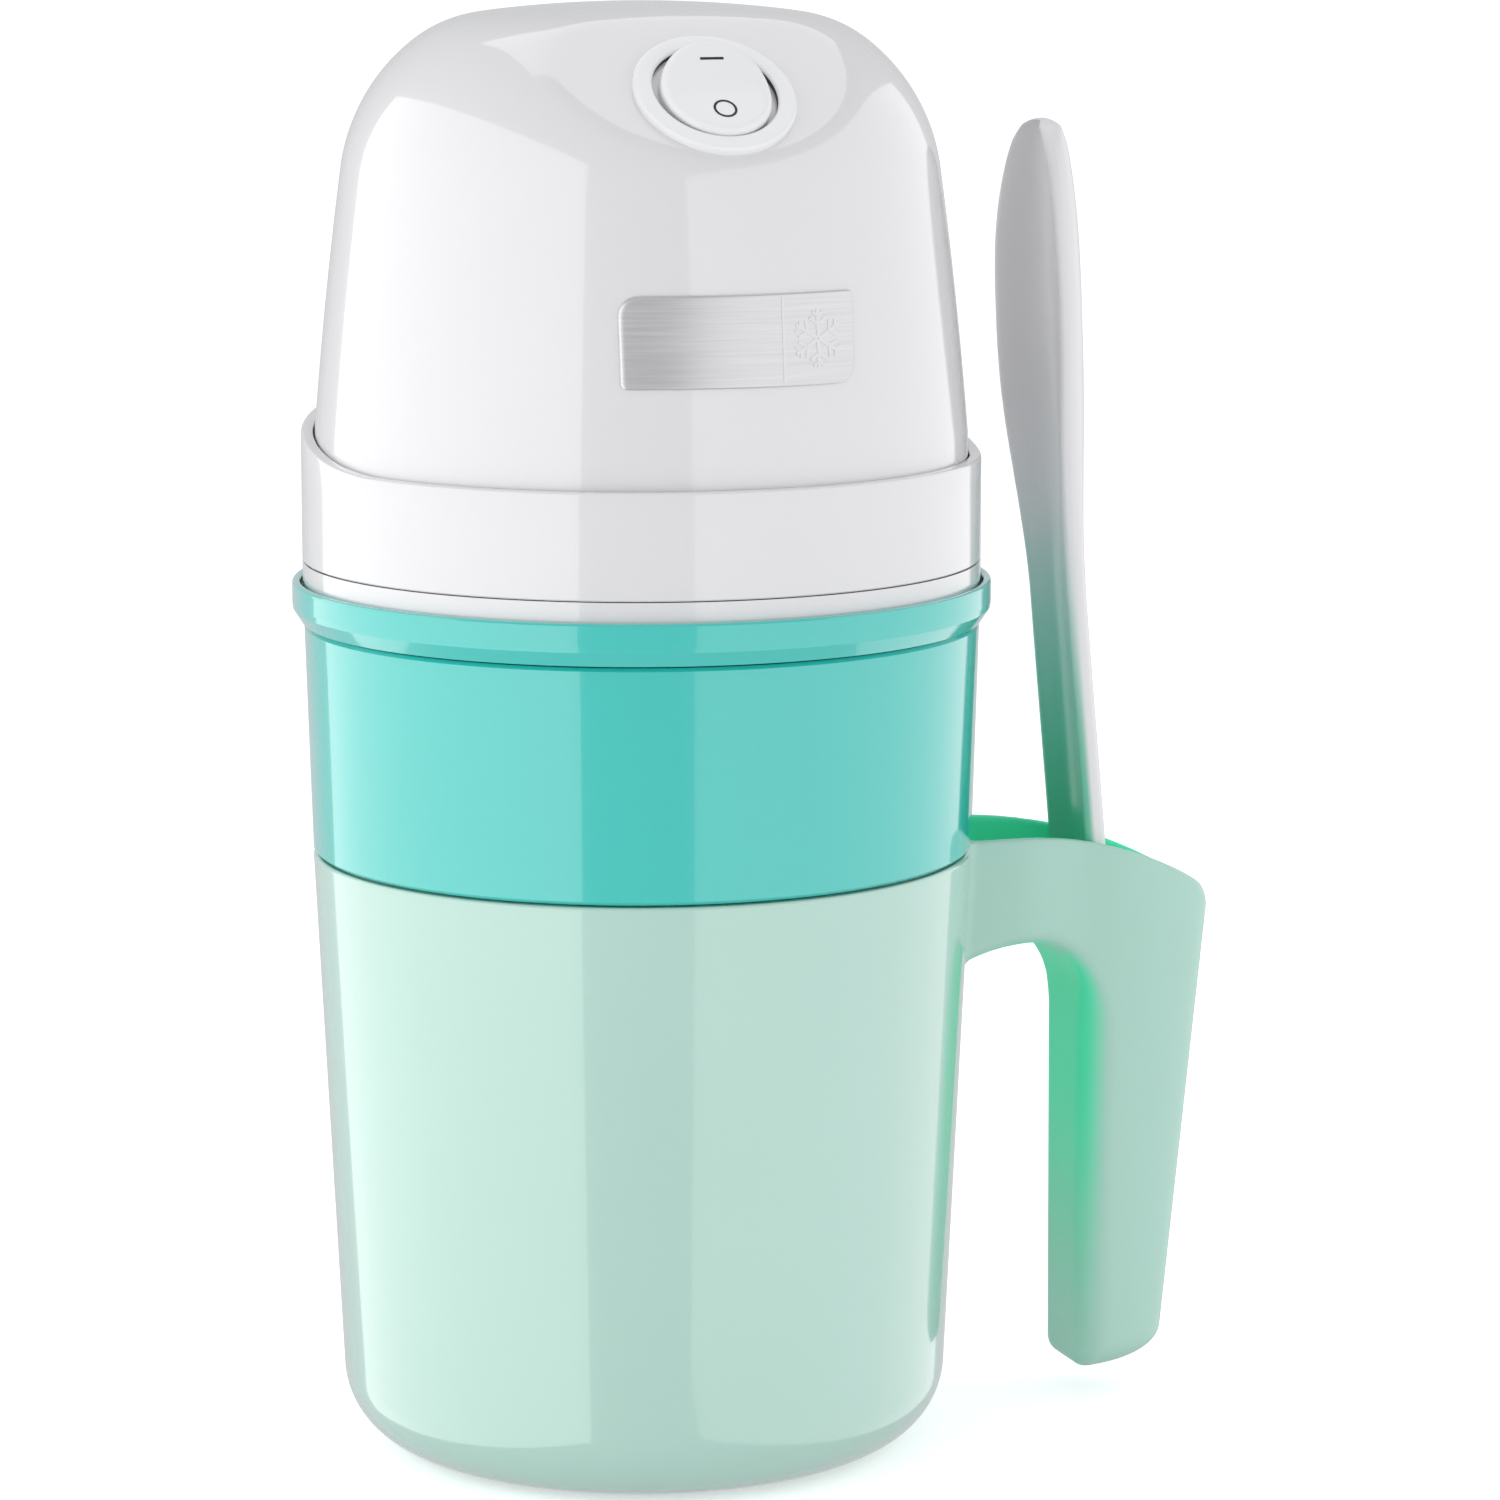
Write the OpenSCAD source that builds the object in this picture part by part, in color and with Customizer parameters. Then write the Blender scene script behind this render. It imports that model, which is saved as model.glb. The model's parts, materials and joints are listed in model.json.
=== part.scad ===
// Hand-held pint ice cream maker: insulated cup with a hollow handle, a freezer bowl,
// a lid, a paddle, a motor unit and a spoon that is stored in the handle.
// Millimetres. +Z is up, the base is at z = 0 and the handle points along +X.
// The front, with the plaque and the switch, faces -Y.

/* [Cup] */
// Radius that the cup's wall would have at the table
cup_base_r = 54; // [53.5:0.1:54.5]
// Radius of the cup's wall at its rim
cup_rim_r = 59.15; // [59:0.05:59.4]
// Height of the cup's rim
cup_rim_z = 108.8; // [106:0.2:109]
// Radius of the rounded bottom corner
cup_corner_r = 14.2; // [12:0.2:15]
// Thickness of the moulded walls
wall = 2.2; // [1.8:0.1:2.4]

/* [Handle] */
// How far the handle's nose reaches from the axis
handle_reach = 110.6; // [109:0.2:112]
// Distance from the axis to the grip's inner face
grip_face_x = 82; // [81:0.5:83]
// Half of the handle's width at the cup
handle_half_w = 14; // [13.5:0.25:14.5]
// Half of the grip's width
grip_half_w = 12; // [11.5:0.25:12.5]
// Lean of the grip's outer edge from vertical, in degrees
grip_lean = 6; // [5.5:0.25:6.5]

/* [Freezer bowl] */
// Height of the freezer bowl's rim
bowl_rim_z = 150.2; // [149.8:0.1:150.4]
// Outer radius of the freezer bowl at its rim
bowl_rim_r = 60.3; // [59.9:0.1:60.5]
// Inner radius of the metal vessel at its bottom
vessel_base_r = 43; // [42:0.5:44]
// Inner radius of the metal vessel at its mouth
vessel_mouth_r = 46.4; // [46:0.1:46.6]

/* [Lid] */
// Outer radius of the lid's flange
lid_r = 62.4; // [62:0.1:63]
// Height of the flange's top edge
lid_top_z = 158; // [157.4:0.1:158.4]

/* [Motor unit] */
// Outer radius of the white band around the motor unit
band_r = 60.5; // [60.3:0.1:60.6]
// Height of the band's top edge at the front
band_top_z = 180; // [178:0.5:182]
// Rise of the band's top edge at the back
band_rise = 10.5; // [6:0.5:12]
// Height of the dome's highest point
dome_top_z = 259.8; // [259:0.1:261]

/* [Switch] */
// Radius of the switch's bezel
bezel_r = 14.25; // [13.8:0.05:14.6]
// Radius of the round rocker
rocker_r = 10.25; // [10:0.05:10.4]
// Angle that the rocker travels from off to on, in degrees
rocker_travel = 16; // [12:1:16]

/* [Gears] */
// Module of the first gear stage
module_1 = 0.8; // [0.8:0.05:0.8]
// Module of the second gear stage
module_2 = 1; // [1:0.05:1]
// Teeth on both pinions
pinion_teeth = 12; // [12:1:12]
// Teeth on both wheels
wheel_teeth = 48; // [48:1:48]
// Play between meshing teeth
backlash = 0.3; // [0.2:0.05:0.4]

/* [Hidden] */

$fn = 96;

// Gaps: loose between bodies that lift apart, running for journals, snug inside one body
loose = 0.4;
running = 0.05;
snug = 0.03;

mint = "#b4dccb";
teal = "#6ecdc4";
white = "#f0eff2";
steel = "#b8bcc2";
dark = "#3a3d42";

// Cup
pad_proud = 0.5;
pad_r = 38;
cup_floor_z = 3.2;
lean = atan((cup_rim_r - cup_base_r) / cup_rim_z);

function cup_wall_r(z) = cup_base_r + (cup_rim_r - cup_base_r) * z / cup_rim_z;

// Handle
arm_top_z = 108.2;
arm_straight_x = 66;
arm_top_curve_r = 76.8;
arch_r = 16;
arch_x = 68.5;
arch_z = 88.3;
grip_top_z = 92;
grip_bottom_z = 5.5;
grip_well_z = 12.5;
handle_wall = 2.3;

// Freezer bowl
bowl_step_z = cup_rim_z + loose;
bowl_floor_z = 3.9;
shell_wall = 2;
vessel_wall = 1.2;
vessel_floor_z = 17;
vessel_corner_r = 12;
ring_bottom_z = 146.2;
ring_inner_r = 47.8;
lip_r = 50.2;
lip_z = 149.2;
gel_top_z = 138;

// Lid
lid_plate_z = 151.6;
lid_plate_t = 2.4;
lid_edge_z = 150.55;
hub_r = 9;
bush_r = 7;
journal_r = 5;
hub_bottom_z = 147.5;
hub_top_z = 155;

// Paddle
paddle_reach = 41;
paddle_floor_z = 19.5;
paddle_top_z = 120;
paddle_t = 3;
paddle_bar = 5;
hex_r = 4.9;
hex_top_z = 163;

// Motor unit
base_bottom_z = 154.4;
base_plate_z = 157.6;
base_seam_z = 161.4;
base_top_z = 160;
dome_foot_z = 161.8;
dome_foot_r = 58.1;
side_start = [58, 185];
side_r = 840;
side_elev = [4.7, 7.83];
shoulder_c = [19.01, 226.06];
shoulder_r = 34.3;
blend_elev = 52;
blend_r = 23.7;
crown_r = 222;
boss_angles = [105, 225, 345];
boss_pos_r = 50;
post_top_z = 166;
boss_top_z = 186;

// Switch, on the front of the dome's shoulder
switch_r = 41.3;
switch_z = 246.06;
switch_elev = 50.1;
bezel_proud = 1.4;
barrel_r = 12;
well_r = 10.95;
barrel_depth = 20;
pivot_depth = 4;

// Plaque
plaque_z = [197, 212.6];
plaque_half_w = 20.9;

// Gear train: output on the axis, motor behind it, idler at the side
stage_1 = module_1 * (pinion_teeth + wheel_teeth) / 2;
stage_2 = module_2 * (pinion_teeth + wheel_teeth) / 2;
motor_y = 20;
idler_y = (pow(stage_2, 2) + pow(motor_y, 2) - pow(stage_1, 2)) / (2 * motor_y);
idler_x = sqrt(pow(stage_2, 2) - pow(idler_y, 2));
motor_at = [0, motor_y, 0];
idler_at = [idler_x, idler_y, 0];
motor_to_idler = atan2(idler_y - motor_y, idler_x);
idler_to_output = atan2(-idler_y, -idler_x);
tooth_half = 180 / wheel_teeth;
pressure_angle = 20;

box_floor_z = 160.05;
box_split_z = 174;
box_plate_z = 183.8;
box_top_z = 186;
box_wall = 2;
box_out_r = 26;
box_idler_r = 21.5;
ears = [
    [31 * cos(215), 31 * sin(215)],
    [31 * cos(270), 31 * sin(270)],
    [idler_x + 26.5 * cos(110), idler_y + 26.5 * sin(110)],
    [idler_x + 26.5 * cos(-40), idler_y + 26.5 * sin(-40)]
];
ear_r = 4;

// Motor
can_r = 18;
can_wall = 1.2;
can_bottom_z = 186.1;
can_top_z = 225;
shaft_r = 1.6;
motor_screw_x = 9;

// Points on an arc, from angle a0 to a1
function arc(c, r, a0, a1, n = 8) =
    [for (i = [0 : n]) let (a = a0 + (a1 - a0) * i / n) [c[0] + r * cos(a), c[1] + r * sin(a)]];

function reversed(list) = [for (i = [len(list) - 1 : -1 : 0]) list[i]];

module revolve(points) {
    rotate_extrude() polygon(points);
}

// A flat ring standing on z0
module ring(r_out, r_in, z0, z1) {
    translate([0, 0, z0]) difference() {
        cylinder(r = r_out, h = z1 - z0);
        translate([0, 0, -1]) cylinder(r = r_in, h = z1 - z0 + 2);
    }
}

module rod(r, z0, z1) {
    translate([0, 0, z0]) cylinder(r = r, h = z1 - z0);
}

// ---------- Cup with its handle ----------

function cup_side(inset, floor_z) =
    let (r = cup_corner_r - inset, c = [cup_wall_r(cup_corner_r) - cup_corner_r, floor_z + r])
    concat([[0, floor_z]], arc(c, r, -90, -lean, 10));

module cup_hollow() {
    rim = cup_rim_r - wall;
    revolve(concat(cup_side(wall, cup_floor_z), [[rim, cup_rim_z], [rim, cup_rim_z + 30], [0, cup_rim_z + 30]]));
}

module cup_body() {
    edge = 0.7;
    rim = arc([cup_rim_r - edge, cup_rim_z - edge], edge, 0, 90, 4);
    revolve(concat(cup_side(0, pad_proud), rim, [[0, cup_rim_z]]));
}

// Half-width of the handle seen from above, at a distance x from the axis. It is widest at
// the cup and closes to a narrow rounded nose.
function nose_half(x, half_w, start, end) =
    let (u = max(0, min(1, (x - start) / (end - start)))) half_w * pow(1 - u * u, 0.6);

function nose_outline(inset) =
    let (
        start = grip_face_x + 1,
        end = handle_reach - 1.5 * inset,
        steps = 14,
        side = [for (i = [0 : steps]) let (x = start + (end - start) * sin(90 * i / steps))
            [x, nose_half(x, grip_half_w - inset, start, end)]]
    )
    concat(
        [[50, handle_half_w - inset], [grip_face_x - 14, handle_half_w - inset]],
        side,
        reversed([for (p = side) [p[0], -p[1]]]),
        [[grip_face_x - 14, inset - handle_half_w], [50, inset - handle_half_w]]
    );

// Side view of the arm: a flat top that curves down to the nose, over a low arch
module arm_side(inset, open_top) {
    top_c = [arm_straight_x, arm_top_z - arm_top_curve_r];
    arch_c = [arch_x, arch_z - arch_r];
    arch_half = acos((grip_face_x - arch_x) / arch_r);
    top = open_top
        ? [[handle_reach + 5, grip_top_z - 2], [handle_reach + 5, 125], [50, 125]]
        : concat(
            [[handle_reach, grip_top_z - 2], [handle_reach, grip_top_z + 1]],
            arc(top_c, arm_top_curve_r, 57, 90, 10),
            [[50, arm_top_z]]
        );
    arch = arc(arch_c, arch_r + inset, 135, arch_half, 10);
    floor_end = [grip_face_x + inset, grip_top_z - 2];
    translate([0, 40, 0]) rotate([90, 0, 0]) linear_extrude(80)
        polygon(concat([[50, arch[0][1]]], arch, [floor_end], top));
}

module plan_prism(inset) {
    linear_extrude(130) polygon(nose_outline(inset));
}

// The grip hangs free: a prism with the nose outline, leaning in towards its bottom
module grip_prism(inset, bottom_z) {
    intersection() {
        translate([handle_reach, 0, grip_top_z]) rotate([0, grip_lean, 0]) translate([-handle_reach, 0, -110])
            linear_extrude(130) polygon(nose_outline(inset));
        translate([grip_face_x + inset, -20, bottom_z]) cube([40, 40, grip_top_z - bottom_z]);
    }
}

// A cap that rounds the grip's lower end in side view
module grip_end_cut() {
    r = 9;
    end_x = handle_reach - (grip_top_z - grip_bottom_z) * tan(grip_lean);
    corner = [end_x - r, grip_bottom_z + r];
    translate([0, 20, 0]) rotate([90, 0, 0]) linear_extrude(40)
        polygon(concat(arc(corner, r, 0, -90, 8), [[corner[0], -5], [120, -5], [120, corner[1]]]));
}

module handle() {
    difference() {
        union() {
            intersection() {
                arm_side(0, false);
                plan_prism(0);
            }
            difference() {
                grip_prism(0, grip_bottom_z);
                grip_end_cut();
            }
        }
        intersection() {
            arm_side(handle_wall, true);
            plan_prism(handle_wall);
        }
        grip_prism(handle_wall, grip_well_z);
        cup_hollow();
    }
}

module outer_cup() {
    color(mint) union() {
        difference() {
            cup_body();
            cup_hollow();
            translate([0, 0, -1]) cylinder(r = pad_r + snug, h = 1 + pad_proud + 1);
        }
        handle();
    }
}

// Non-slip pad that the maker stands on
module base_pad() {
    color(dark) rod(pad_r, 0, pad_proud + 0.95);
}

// ---------- Spoon ----------

spoon_rings = 44;
spoon_sides = 12;
// Centreline heights and distances from the axis
spoon_foot = [90, 14];
spoon_tip = [76.4, 238];

function spoon_x(z) =
    let (u = (z - spoon_foot[1]) / (spoon_tip[1] - spoon_foot[1]))
    spoon_foot[0] + (spoon_tip[0] - spoon_foot[0]) * u + 1.2 * sin(360 * u);

// Half-width: a narrow stem that widens upwards, then an oval bowl
function spoon_half(z) =
    let (
        foot = sqrt(max(0, 1 - pow(max(0, 1 - (z - spoon_foot[1]) / 4), 2))),
        stem = 4.6 + 4.2 * max(0, min(1, (z - spoon_foot[1]) / 75)),
        u = max(0, min(1, (z - 150) / 50)),
        swell = 7.2 * u * u * (3 - 2 * u),
        t = max(0, (z - 205) / (spoon_tip[1] - 205)),
        tip = sqrt(max(0, 1 - t * t))
    )
    max(0.15, (stem + swell) * foot * tip);

function spoon_dish(z) =
    let (u = max(0, min(1, (z - 150) / 40)), t = max(0, (z - 212) / (spoon_tip[1] - 212)))
    (2.4 + 3.2 * u) * min(1, spoon_half(z) / 8) * (1 - 0.6 * t * t);

function spoon_ring(z) =
    let (w = spoon_half(z), d = spoon_dish(z), t = min(2.4, w), x = spoon_x(z))
    concat(
        [for (i = [0 : spoon_sides]) let (u = -cos(180 * i / spoon_sides))
            [x + d * (0.5 - u * u) - t / 2 * sqrt(1 - 0.8 * pow(u, 6)), w * u, z]],
        [for (i = [spoon_sides : -1 : 0]) let (u = -cos(180 * i / spoon_sides))
            [x + d * (0.5 - u * u) + t / 2 * sqrt(1 - 0.8 * pow(u, 6)), w * u, z]]
    );

module spoon() {
    n = 2 * (spoon_sides + 1);
    zs = [for (i = [0 : spoon_rings]) spoon_foot[1] + 0.02
        + (spoon_tip[1] - spoon_foot[1] - 0.04) * (1 - cos(180 * i / spoon_rings)) / 2];
    points = [for (z = zs) each spoon_ring(z)];
    sides = [for (k = [0 : spoon_rings - 1]) for (i = [0 : n - 1])
        let (a = k * n + i, b = k * n + (i + 1) % n) each [[a, a + n, b], [b, a + n, b + n]]];
    foot = [[for (i = [0 : n - 1]) i]];
    tip = [[for (i = [n - 1 : -1 : 0]) spoon_rings * n + i]];
    color(white) polyhedron(points, concat(sides, foot, tip), convexity = 4);
}

// ---------- Freezer bowl ----------

function shell_side(inset) =
    let (
        gap = wall + 0.5 + inset,
        r = cup_corner_r - gap + 1,
        c = [cup_wall_r(cup_corner_r) - gap - r, bowl_floor_z + inset + r]
    )
    concat([[0, bowl_floor_z + inset]], arc(c, r, -90, -lean, 10));

module bowl_shell() {
    edge = 0.6;
    gap = wall + 0.5;
    outer = concat(
        shell_side(0),
        [[cup_wall_r(bowl_step_z) - gap, bowl_step_z], [cup_rim_r - edge, bowl_step_z]],
        [[cup_rim_r, bowl_step_z + edge], [bowl_rim_r, bowl_rim_z - edge], [bowl_rim_r - edge, bowl_rim_z]]
    );
    inner = concat(
        shell_side(shell_wall),
        [[cup_wall_r(bowl_step_z) - gap - shell_wall, bowl_step_z + shell_wall]],
        [[cup_rim_r - shell_wall, bowl_step_z + shell_wall + 2], [bowl_rim_r - shell_wall, bowl_rim_z]]
    );
    color(teal) revolve(concat(outer, reversed(inner)));
}

function vessel_r(z) =
    vessel_base_r + (vessel_mouth_r - vessel_base_r) * (z - vessel_floor_z) / (bowl_rim_z - vessel_floor_z);

function vessel_side(grow) =
    let (r = vessel_corner_r + grow, c = [vessel_r(vessel_floor_z + 12) - 12, vessel_floor_z + 12])
    concat([[0, vessel_floor_z - grow]], arc(c, r, -90, 0, 8));

module inner_vessel() {
    mouth = vessel_mouth_r;
    color(steel) revolve(concat(
        vessel_side(vessel_wall),
        [[mouth + vessel_wall, lip_z], [lip_r, lip_z], [lip_r, bowl_rim_z], [mouth + 0.8, bowl_rim_z]],
        [[mouth, bowl_rim_z - 0.8]],
        reversed(vessel_side(0))
    ));
}

// Freezing liquid sealed between the shell and the vessel
module coolant_gel() {
    slack = 0.1;
    step = bowl_step_z + shell_wall;
    side = cup_wall_r(bowl_step_z) - wall - 0.5 - shell_wall - slack;
    color("#cfe6f2") revolve(concat(
        shell_side(shell_wall + slack),
        [[side, step], [cup_rim_r - shell_wall - 2 * slack, step + 2.2], [cup_rim_r - shell_wall, gel_top_z]],
        [[vessel_r(gel_top_z) + vessel_wall + slack, gel_top_z]],
        reversed(vessel_side(vessel_wall + slack))
    ));
}

// Ring that closes the double wall under the metal lip
module rim_ring() {
    outer = bowl_rim_r - shell_wall - snug;
    color(teal) revolve([
        [ring_inner_r, ring_bottom_z], [outer - 0.15, ring_bottom_z], [outer - 0.05, bowl_rim_z],
        [lip_r + snug, bowl_rim_z], [lip_r + snug, lip_z - snug], [ring_inner_r + 1.6, lip_z - snug],
        [ring_inner_r + 1.6, lip_z - 1.4], [ring_inner_r, lip_z - 1.4]
    ]);
}

module rim_seal() {
    color(dark) ring(ring_inner_r + 1.55, vessel_mouth_r + vessel_wall + 0.08, lip_z - 1.3, lip_z - 0.05);
}

// ---------- Lid ----------

module lid() {
    inner = band_r + loose;
    bevel = [[lid_r - 1.7, lid_edge_z], [lid_r - 0.1, lid_edge_z + 2.5], [lid_r, lid_edge_z + 3.5]];
    edge = 0.65;
    top = concat(
        arc([lid_r - edge, lid_top_z - edge], edge, 0, 90, 4),
        arc([inner + edge, lid_top_z - edge], edge, 90, 180, 4)
    );
    plate_top = lid_plate_z + lid_plate_t;
    spigot = vessel_mouth_r - 0.5;
    spigot_z = 144.5;
    color(teal) revolve(concat(
        [[bush_r + snug, hub_bottom_z], [hub_r, hub_bottom_z], [hub_r, lid_plate_z]],
        [[spigot - 1.8, lid_plate_z], [spigot - 1.8, spigot_z], [spigot - 0.6, spigot_z]],
        [[spigot, spigot_z + 0.6], [spigot, lid_plate_z - 0.6], [lip_r + 1, lid_plate_z - 0.6]],
        [[lip_r + 1, lid_edge_z]],
        bevel,
        top,
        [[inner, plate_top], [hub_r, plate_top], [hub_r, hub_top_z], [bush_r + snug, hub_top_z]]
    ));
}

module lid_bush() {
    color(white) ring(bush_r, journal_r + running, hub_bottom_z, hub_top_z);
}

// Flat seal between the lid and the bowl's metal lip
module lid_gasket() {
    color("#e8e8e4") ring(lip_r + 0.95, vessel_mouth_r - 0.45, bowl_rim_z + 0.05, lid_plate_z - 0.65);
}

// ---------- Paddle ----------

// Half of the paddle's frame, drawn from the stem outwards
module paddle_half() {
    foot = paddle_floor_z;
    bar = paddle_bar;
    arm_zs = [foot, 66, paddle_top_z - bar - 1.5];
    difference() {
        polygon([
            [0, foot], [paddle_reach - 9, foot], [paddle_reach, foot + 10],
            [paddle_reach, paddle_top_z - 6], [paddle_reach - 6, paddle_top_z], [0, paddle_top_z]
        ]);
        for (i = [0 : 1]) {
            low = arm_zs[i] + bar + 1.5;
            high = arm_zs[i + 1];
            polygon([[7, low], [paddle_reach - bar - 4, low], [paddle_reach - bar, low + 5],
                [paddle_reach - bar, high - 3], [paddle_reach - bar - 3, high], [7, high]]);
        }
    }
}

module paddle() {
    color(white) union() {
        rod(journal_r, paddle_floor_z - 1, 155.3);
        rod(7.4, 141, hub_bottom_z - 0.4);
        rod(5.6, 126, 141.5);
        translate([0, 0, 155.2]) cylinder(r = hex_r, h = hex_top_z - 155.2, $fn = 6);
        for (side = [0, 180])
            rotate([0, 0, side]) translate([0, paddle_t / 2, 0]) rotate([90, 0, 0])
                linear_extrude(paddle_t) paddle_half();
    }
}

// ---------- Motor unit: housings ----------

// Outline of the dome seen from the side, moved inwards by inset
function dome_side(inset) =
    let (
        side_c = [side_start[0] - side_r * cos(side_elev[0]), side_start[1] - side_r * sin(side_elev[0])],
        blend_c = [
            shoulder_c[0] + (shoulder_r - blend_r) * cos(blend_elev),
            shoulder_c[1] + (shoulder_r - blend_r) * sin(blend_elev)
        ],
        crown_c = [0, dome_top_z - crown_r],
        crown_elev = atan2(blend_c[1] - crown_c[1], blend_c[0])
    )
    concat(
        [[dome_foot_r - inset, dome_foot_z], [dome_foot_r - inset, side_start[1] - 1]],
        arc(side_c, side_r - inset, side_elev[0], side_elev[1], 8),
        arc(shoulder_c, shoulder_r - inset, side_elev[1] + 4, blend_elev, 10),
        arc(blend_c, blend_r - inset, blend_elev + 4, crown_elev, 8),
        arc(crown_c, crown_r - inset, crown_elev + 1, 90, 6)
    );

// Moves what is drawn around z = 0 to the switch's seat, facing out of the dome
module at_switch() {
    translate([0, -switch_r, switch_z]) rotate([90 - switch_elev, 0, 0]) children();
}

// Space in front of the flat seat that is cut into the dome's shoulder
module seat_space(depth) {
    at_switch() translate([-60, -60, -depth]) cube([120, 120, 60]);
}

module dome_cover() {
    inner = dome_side(wall);
    color(white) union() {
        difference() {
            revolve(concat([[0, dome_foot_z]], dome_side(0)));
            seat_space(bezel_proud);
            difference() {
                revolve(concat([[0, dome_foot_z - 1], [dome_foot_r - wall, dome_foot_z - 1]], inner));
                seat_space(bezel_proud + wall);
            }
            at_switch() translate([0, 0, -12]) cylinder(r = barrel_r + 0.1, h = 24);
            gland_bore(7.05);
        }
        for (a = boss_angles) rotate([0, 0, a]) dome_boss();
    }
}

// Screw boss that hangs from the dome's wall on a rib
module dome_boss() {
    difference() {
        union() {
            translate([boss_pos_r, 0, post_top_z + 0.05]) cylinder(r = 4, h = boss_top_z - post_top_z);
            translate([boss_pos_r, -1, post_top_z + 0.05]) cube([dome_foot_r - wall - boss_pos_r + 1, 2, 18]);
        }
        translate([boss_pos_r, 0, post_top_z]) cylinder(r = 1.55, h = 14);
    }
}

module gland_bore(r) {
    translate([0, 50, 172]) rotate([-90, 0, 0]) cylinder(r = r, h = 20);
}

module skirt_band() {
    back = band_r + 5;
    color(white) difference() {
        ring(band_r, dome_foot_r + 0.2, base_seam_z + 0.15, band_top_z + band_rise + 2);
        translate([-70, 0, 0]) rotate([90, 0, 90]) linear_extrude(140) polygon([
            [-back, band_top_z], [-20, band_top_z], [-10, band_top_z + 0.8], [0, band_top_z + 2.2],
            [15, band_top_z + 4.5], [35, band_top_z + 7.3], [back, band_top_z + band_rise + 0.4],
            [back, band_top_z + 30], [-back, band_top_z + 30]
        ]);
        gland_bore(7.05);
    }
}

module motor_base() {
    color(white) difference() {
        union() {
            ring(band_r, dome_foot_r + 0.2, base_bottom_z, base_seam_z);
            ring(dome_foot_r + 0.5, 11, base_plate_z, base_top_z);
            for (a = boss_angles) rotate([0, 0, a])
                translate([boss_pos_r, 0, base_top_z - 1]) cylinder(r = 5, h = post_top_z - base_top_z + 1);
            for (side = [-1, 1])
                translate([-36, side * 21 - 3, base_top_z - 1]) cube([6, 6, 42]);
        }
        for (a = boss_angles) rotate([0, 0, a]) translate([boss_pos_r, 0, 0]) {
            rod(3.3, base_plate_z - 1, base_plate_z + 5);
            rod(1.7, base_plate_z, post_top_z + 1);
        }
        translate([-34.1, -20.1, base_top_z + 4]) cube([1.8, 40.2, 50]);
    }
}

// Outline of a box with round corners, centred on x = 0
function rounded_box(x, z0, z1, r) = concat(
    arc([x - r, z1 - r], r, 0, 90, 5), arc([r - x, z1 - r], r, 90, 180, 5),
    arc([r - x, z0 + r], r, 180, 270, 5), arc([x - r, z0 + r], r, 270, 360, 5)
);

module badge_plate() {
    thick = 0.5;
    z0 = plaque_z[0] - 1;
    z1 = plaque_z[1] + 1;
    side_c = [side_start[0] - side_r * cos(side_elev[0]), side_start[1] - side_r * sin(side_elev[0])];
    a0 = asin((z0 - side_c[1]) / side_r);
    a1 = asin((z1 - side_c[1]) / side_r);
    color(steel) intersection() {
        revolve(concat(arc(side_c, side_r + snug, a0, a1, 4), reversed(arc(side_c, side_r + thick, a0, a1, 4))));
        rotate([90, 0, 0]) linear_extrude(70) polygon(rounded_box(plaque_half_w, plaque_z[0], plaque_z[1], 3.5));
    }
}

// Rubber grommet in the back of the motor unit
module cord_gland() {
    color(dark) translate([0, 0, 172]) rotate([-90, 0, 0]) difference() {
        union() {
            rod(7, 52.4, 61);
            rod(8.6, 60.6, 62);
            rod(8.6, 52.4, 54.6);
        }
        rod(3.4, 50, 65);
    }
}

module screw(head_r, head_h, shank_r, shank_l) {
    difference() {
        union() {
            rod(head_r, -head_h, 0);
            rod(shank_r, -0.1, shank_l);
        }
        for (a = [0, 90]) rotate([0, 0, a]) translate([-head_r * 0.6, -0.3, -head_h - 1]) cube([head_r * 1.2, 0.6, 1.8]);
    }
}

module housing_screws() {
    color(steel) for (a = boss_angles) rotate([0, 0, a])
        translate([boss_pos_r, 0, base_plate_z + 4.95]) screw(3, 2, 1.5, 14);
}

// ---------- Gear train ----------

function involute(angle) = tan(angle) * 180 / PI - angle;

// Half of a tooth's angle at radius r
function tooth_angle(r, pitch_r, teeth) =
    let (base_r = pitch_r * cos(pressure_angle), a = r > base_r ? acos(base_r / r) : 0)
    90 / teeth - backlash / 4 / pitch_r * 180 / PI + involute(pressure_angle) - involute(a);

// Gear outline with a tooth centred on angle start
function gear_outline(teeth, size, start, tip = 1) =
    let (
        pitch_r = size * teeth / 2,
        base_r = pitch_r * cos(pressure_angle),
        root_r = pitch_r - 1.3 * size,
        radii = [root_r, max(root_r + 0.01, base_r), pitch_r - 0.1 * size, pitch_r + 0.45 * size,
            pitch_r + tip * size]
    )
    [for (k = [0 : teeth - 1]) let (c = start + 360 * k / teeth) each concat(
        [for (r = radii) let (a = c - tooth_angle(r, pitch_r, teeth)) [r * cos(a), r * sin(a)]],
        [for (r = reversed(radii)) let (a = c + tooth_angle(r, pitch_r, teeth)) [r * cos(a), r * sin(a)]]
    )];

module gear(teeth, size, start, z0, z1, tip = 1) {
    translate([0, 0, z0]) linear_extrude(z1 - z0) polygon(gear_outline(teeth, size, start, tip));
}

// Joins the motor's drive to the paddle: a hex socket below, journals and a hex gear seat
module output_coupling() {
    color(white) difference() {
        union() {
            rod(9, 155.6, 160.2);
            rod(7, 160.1, 165);
            translate([0, 0, 164.9]) cylinder(r = 6, h = 8.6, $fn = 6);
            rod(4, 173, 184.6);
        }
        translate([0, 0, 154]) cylinder(r = hex_r + 0.3, h = 10.2, $fn = 6);
        ring(5, 3.3, 183.35, 184.05);
    }
}

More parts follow.
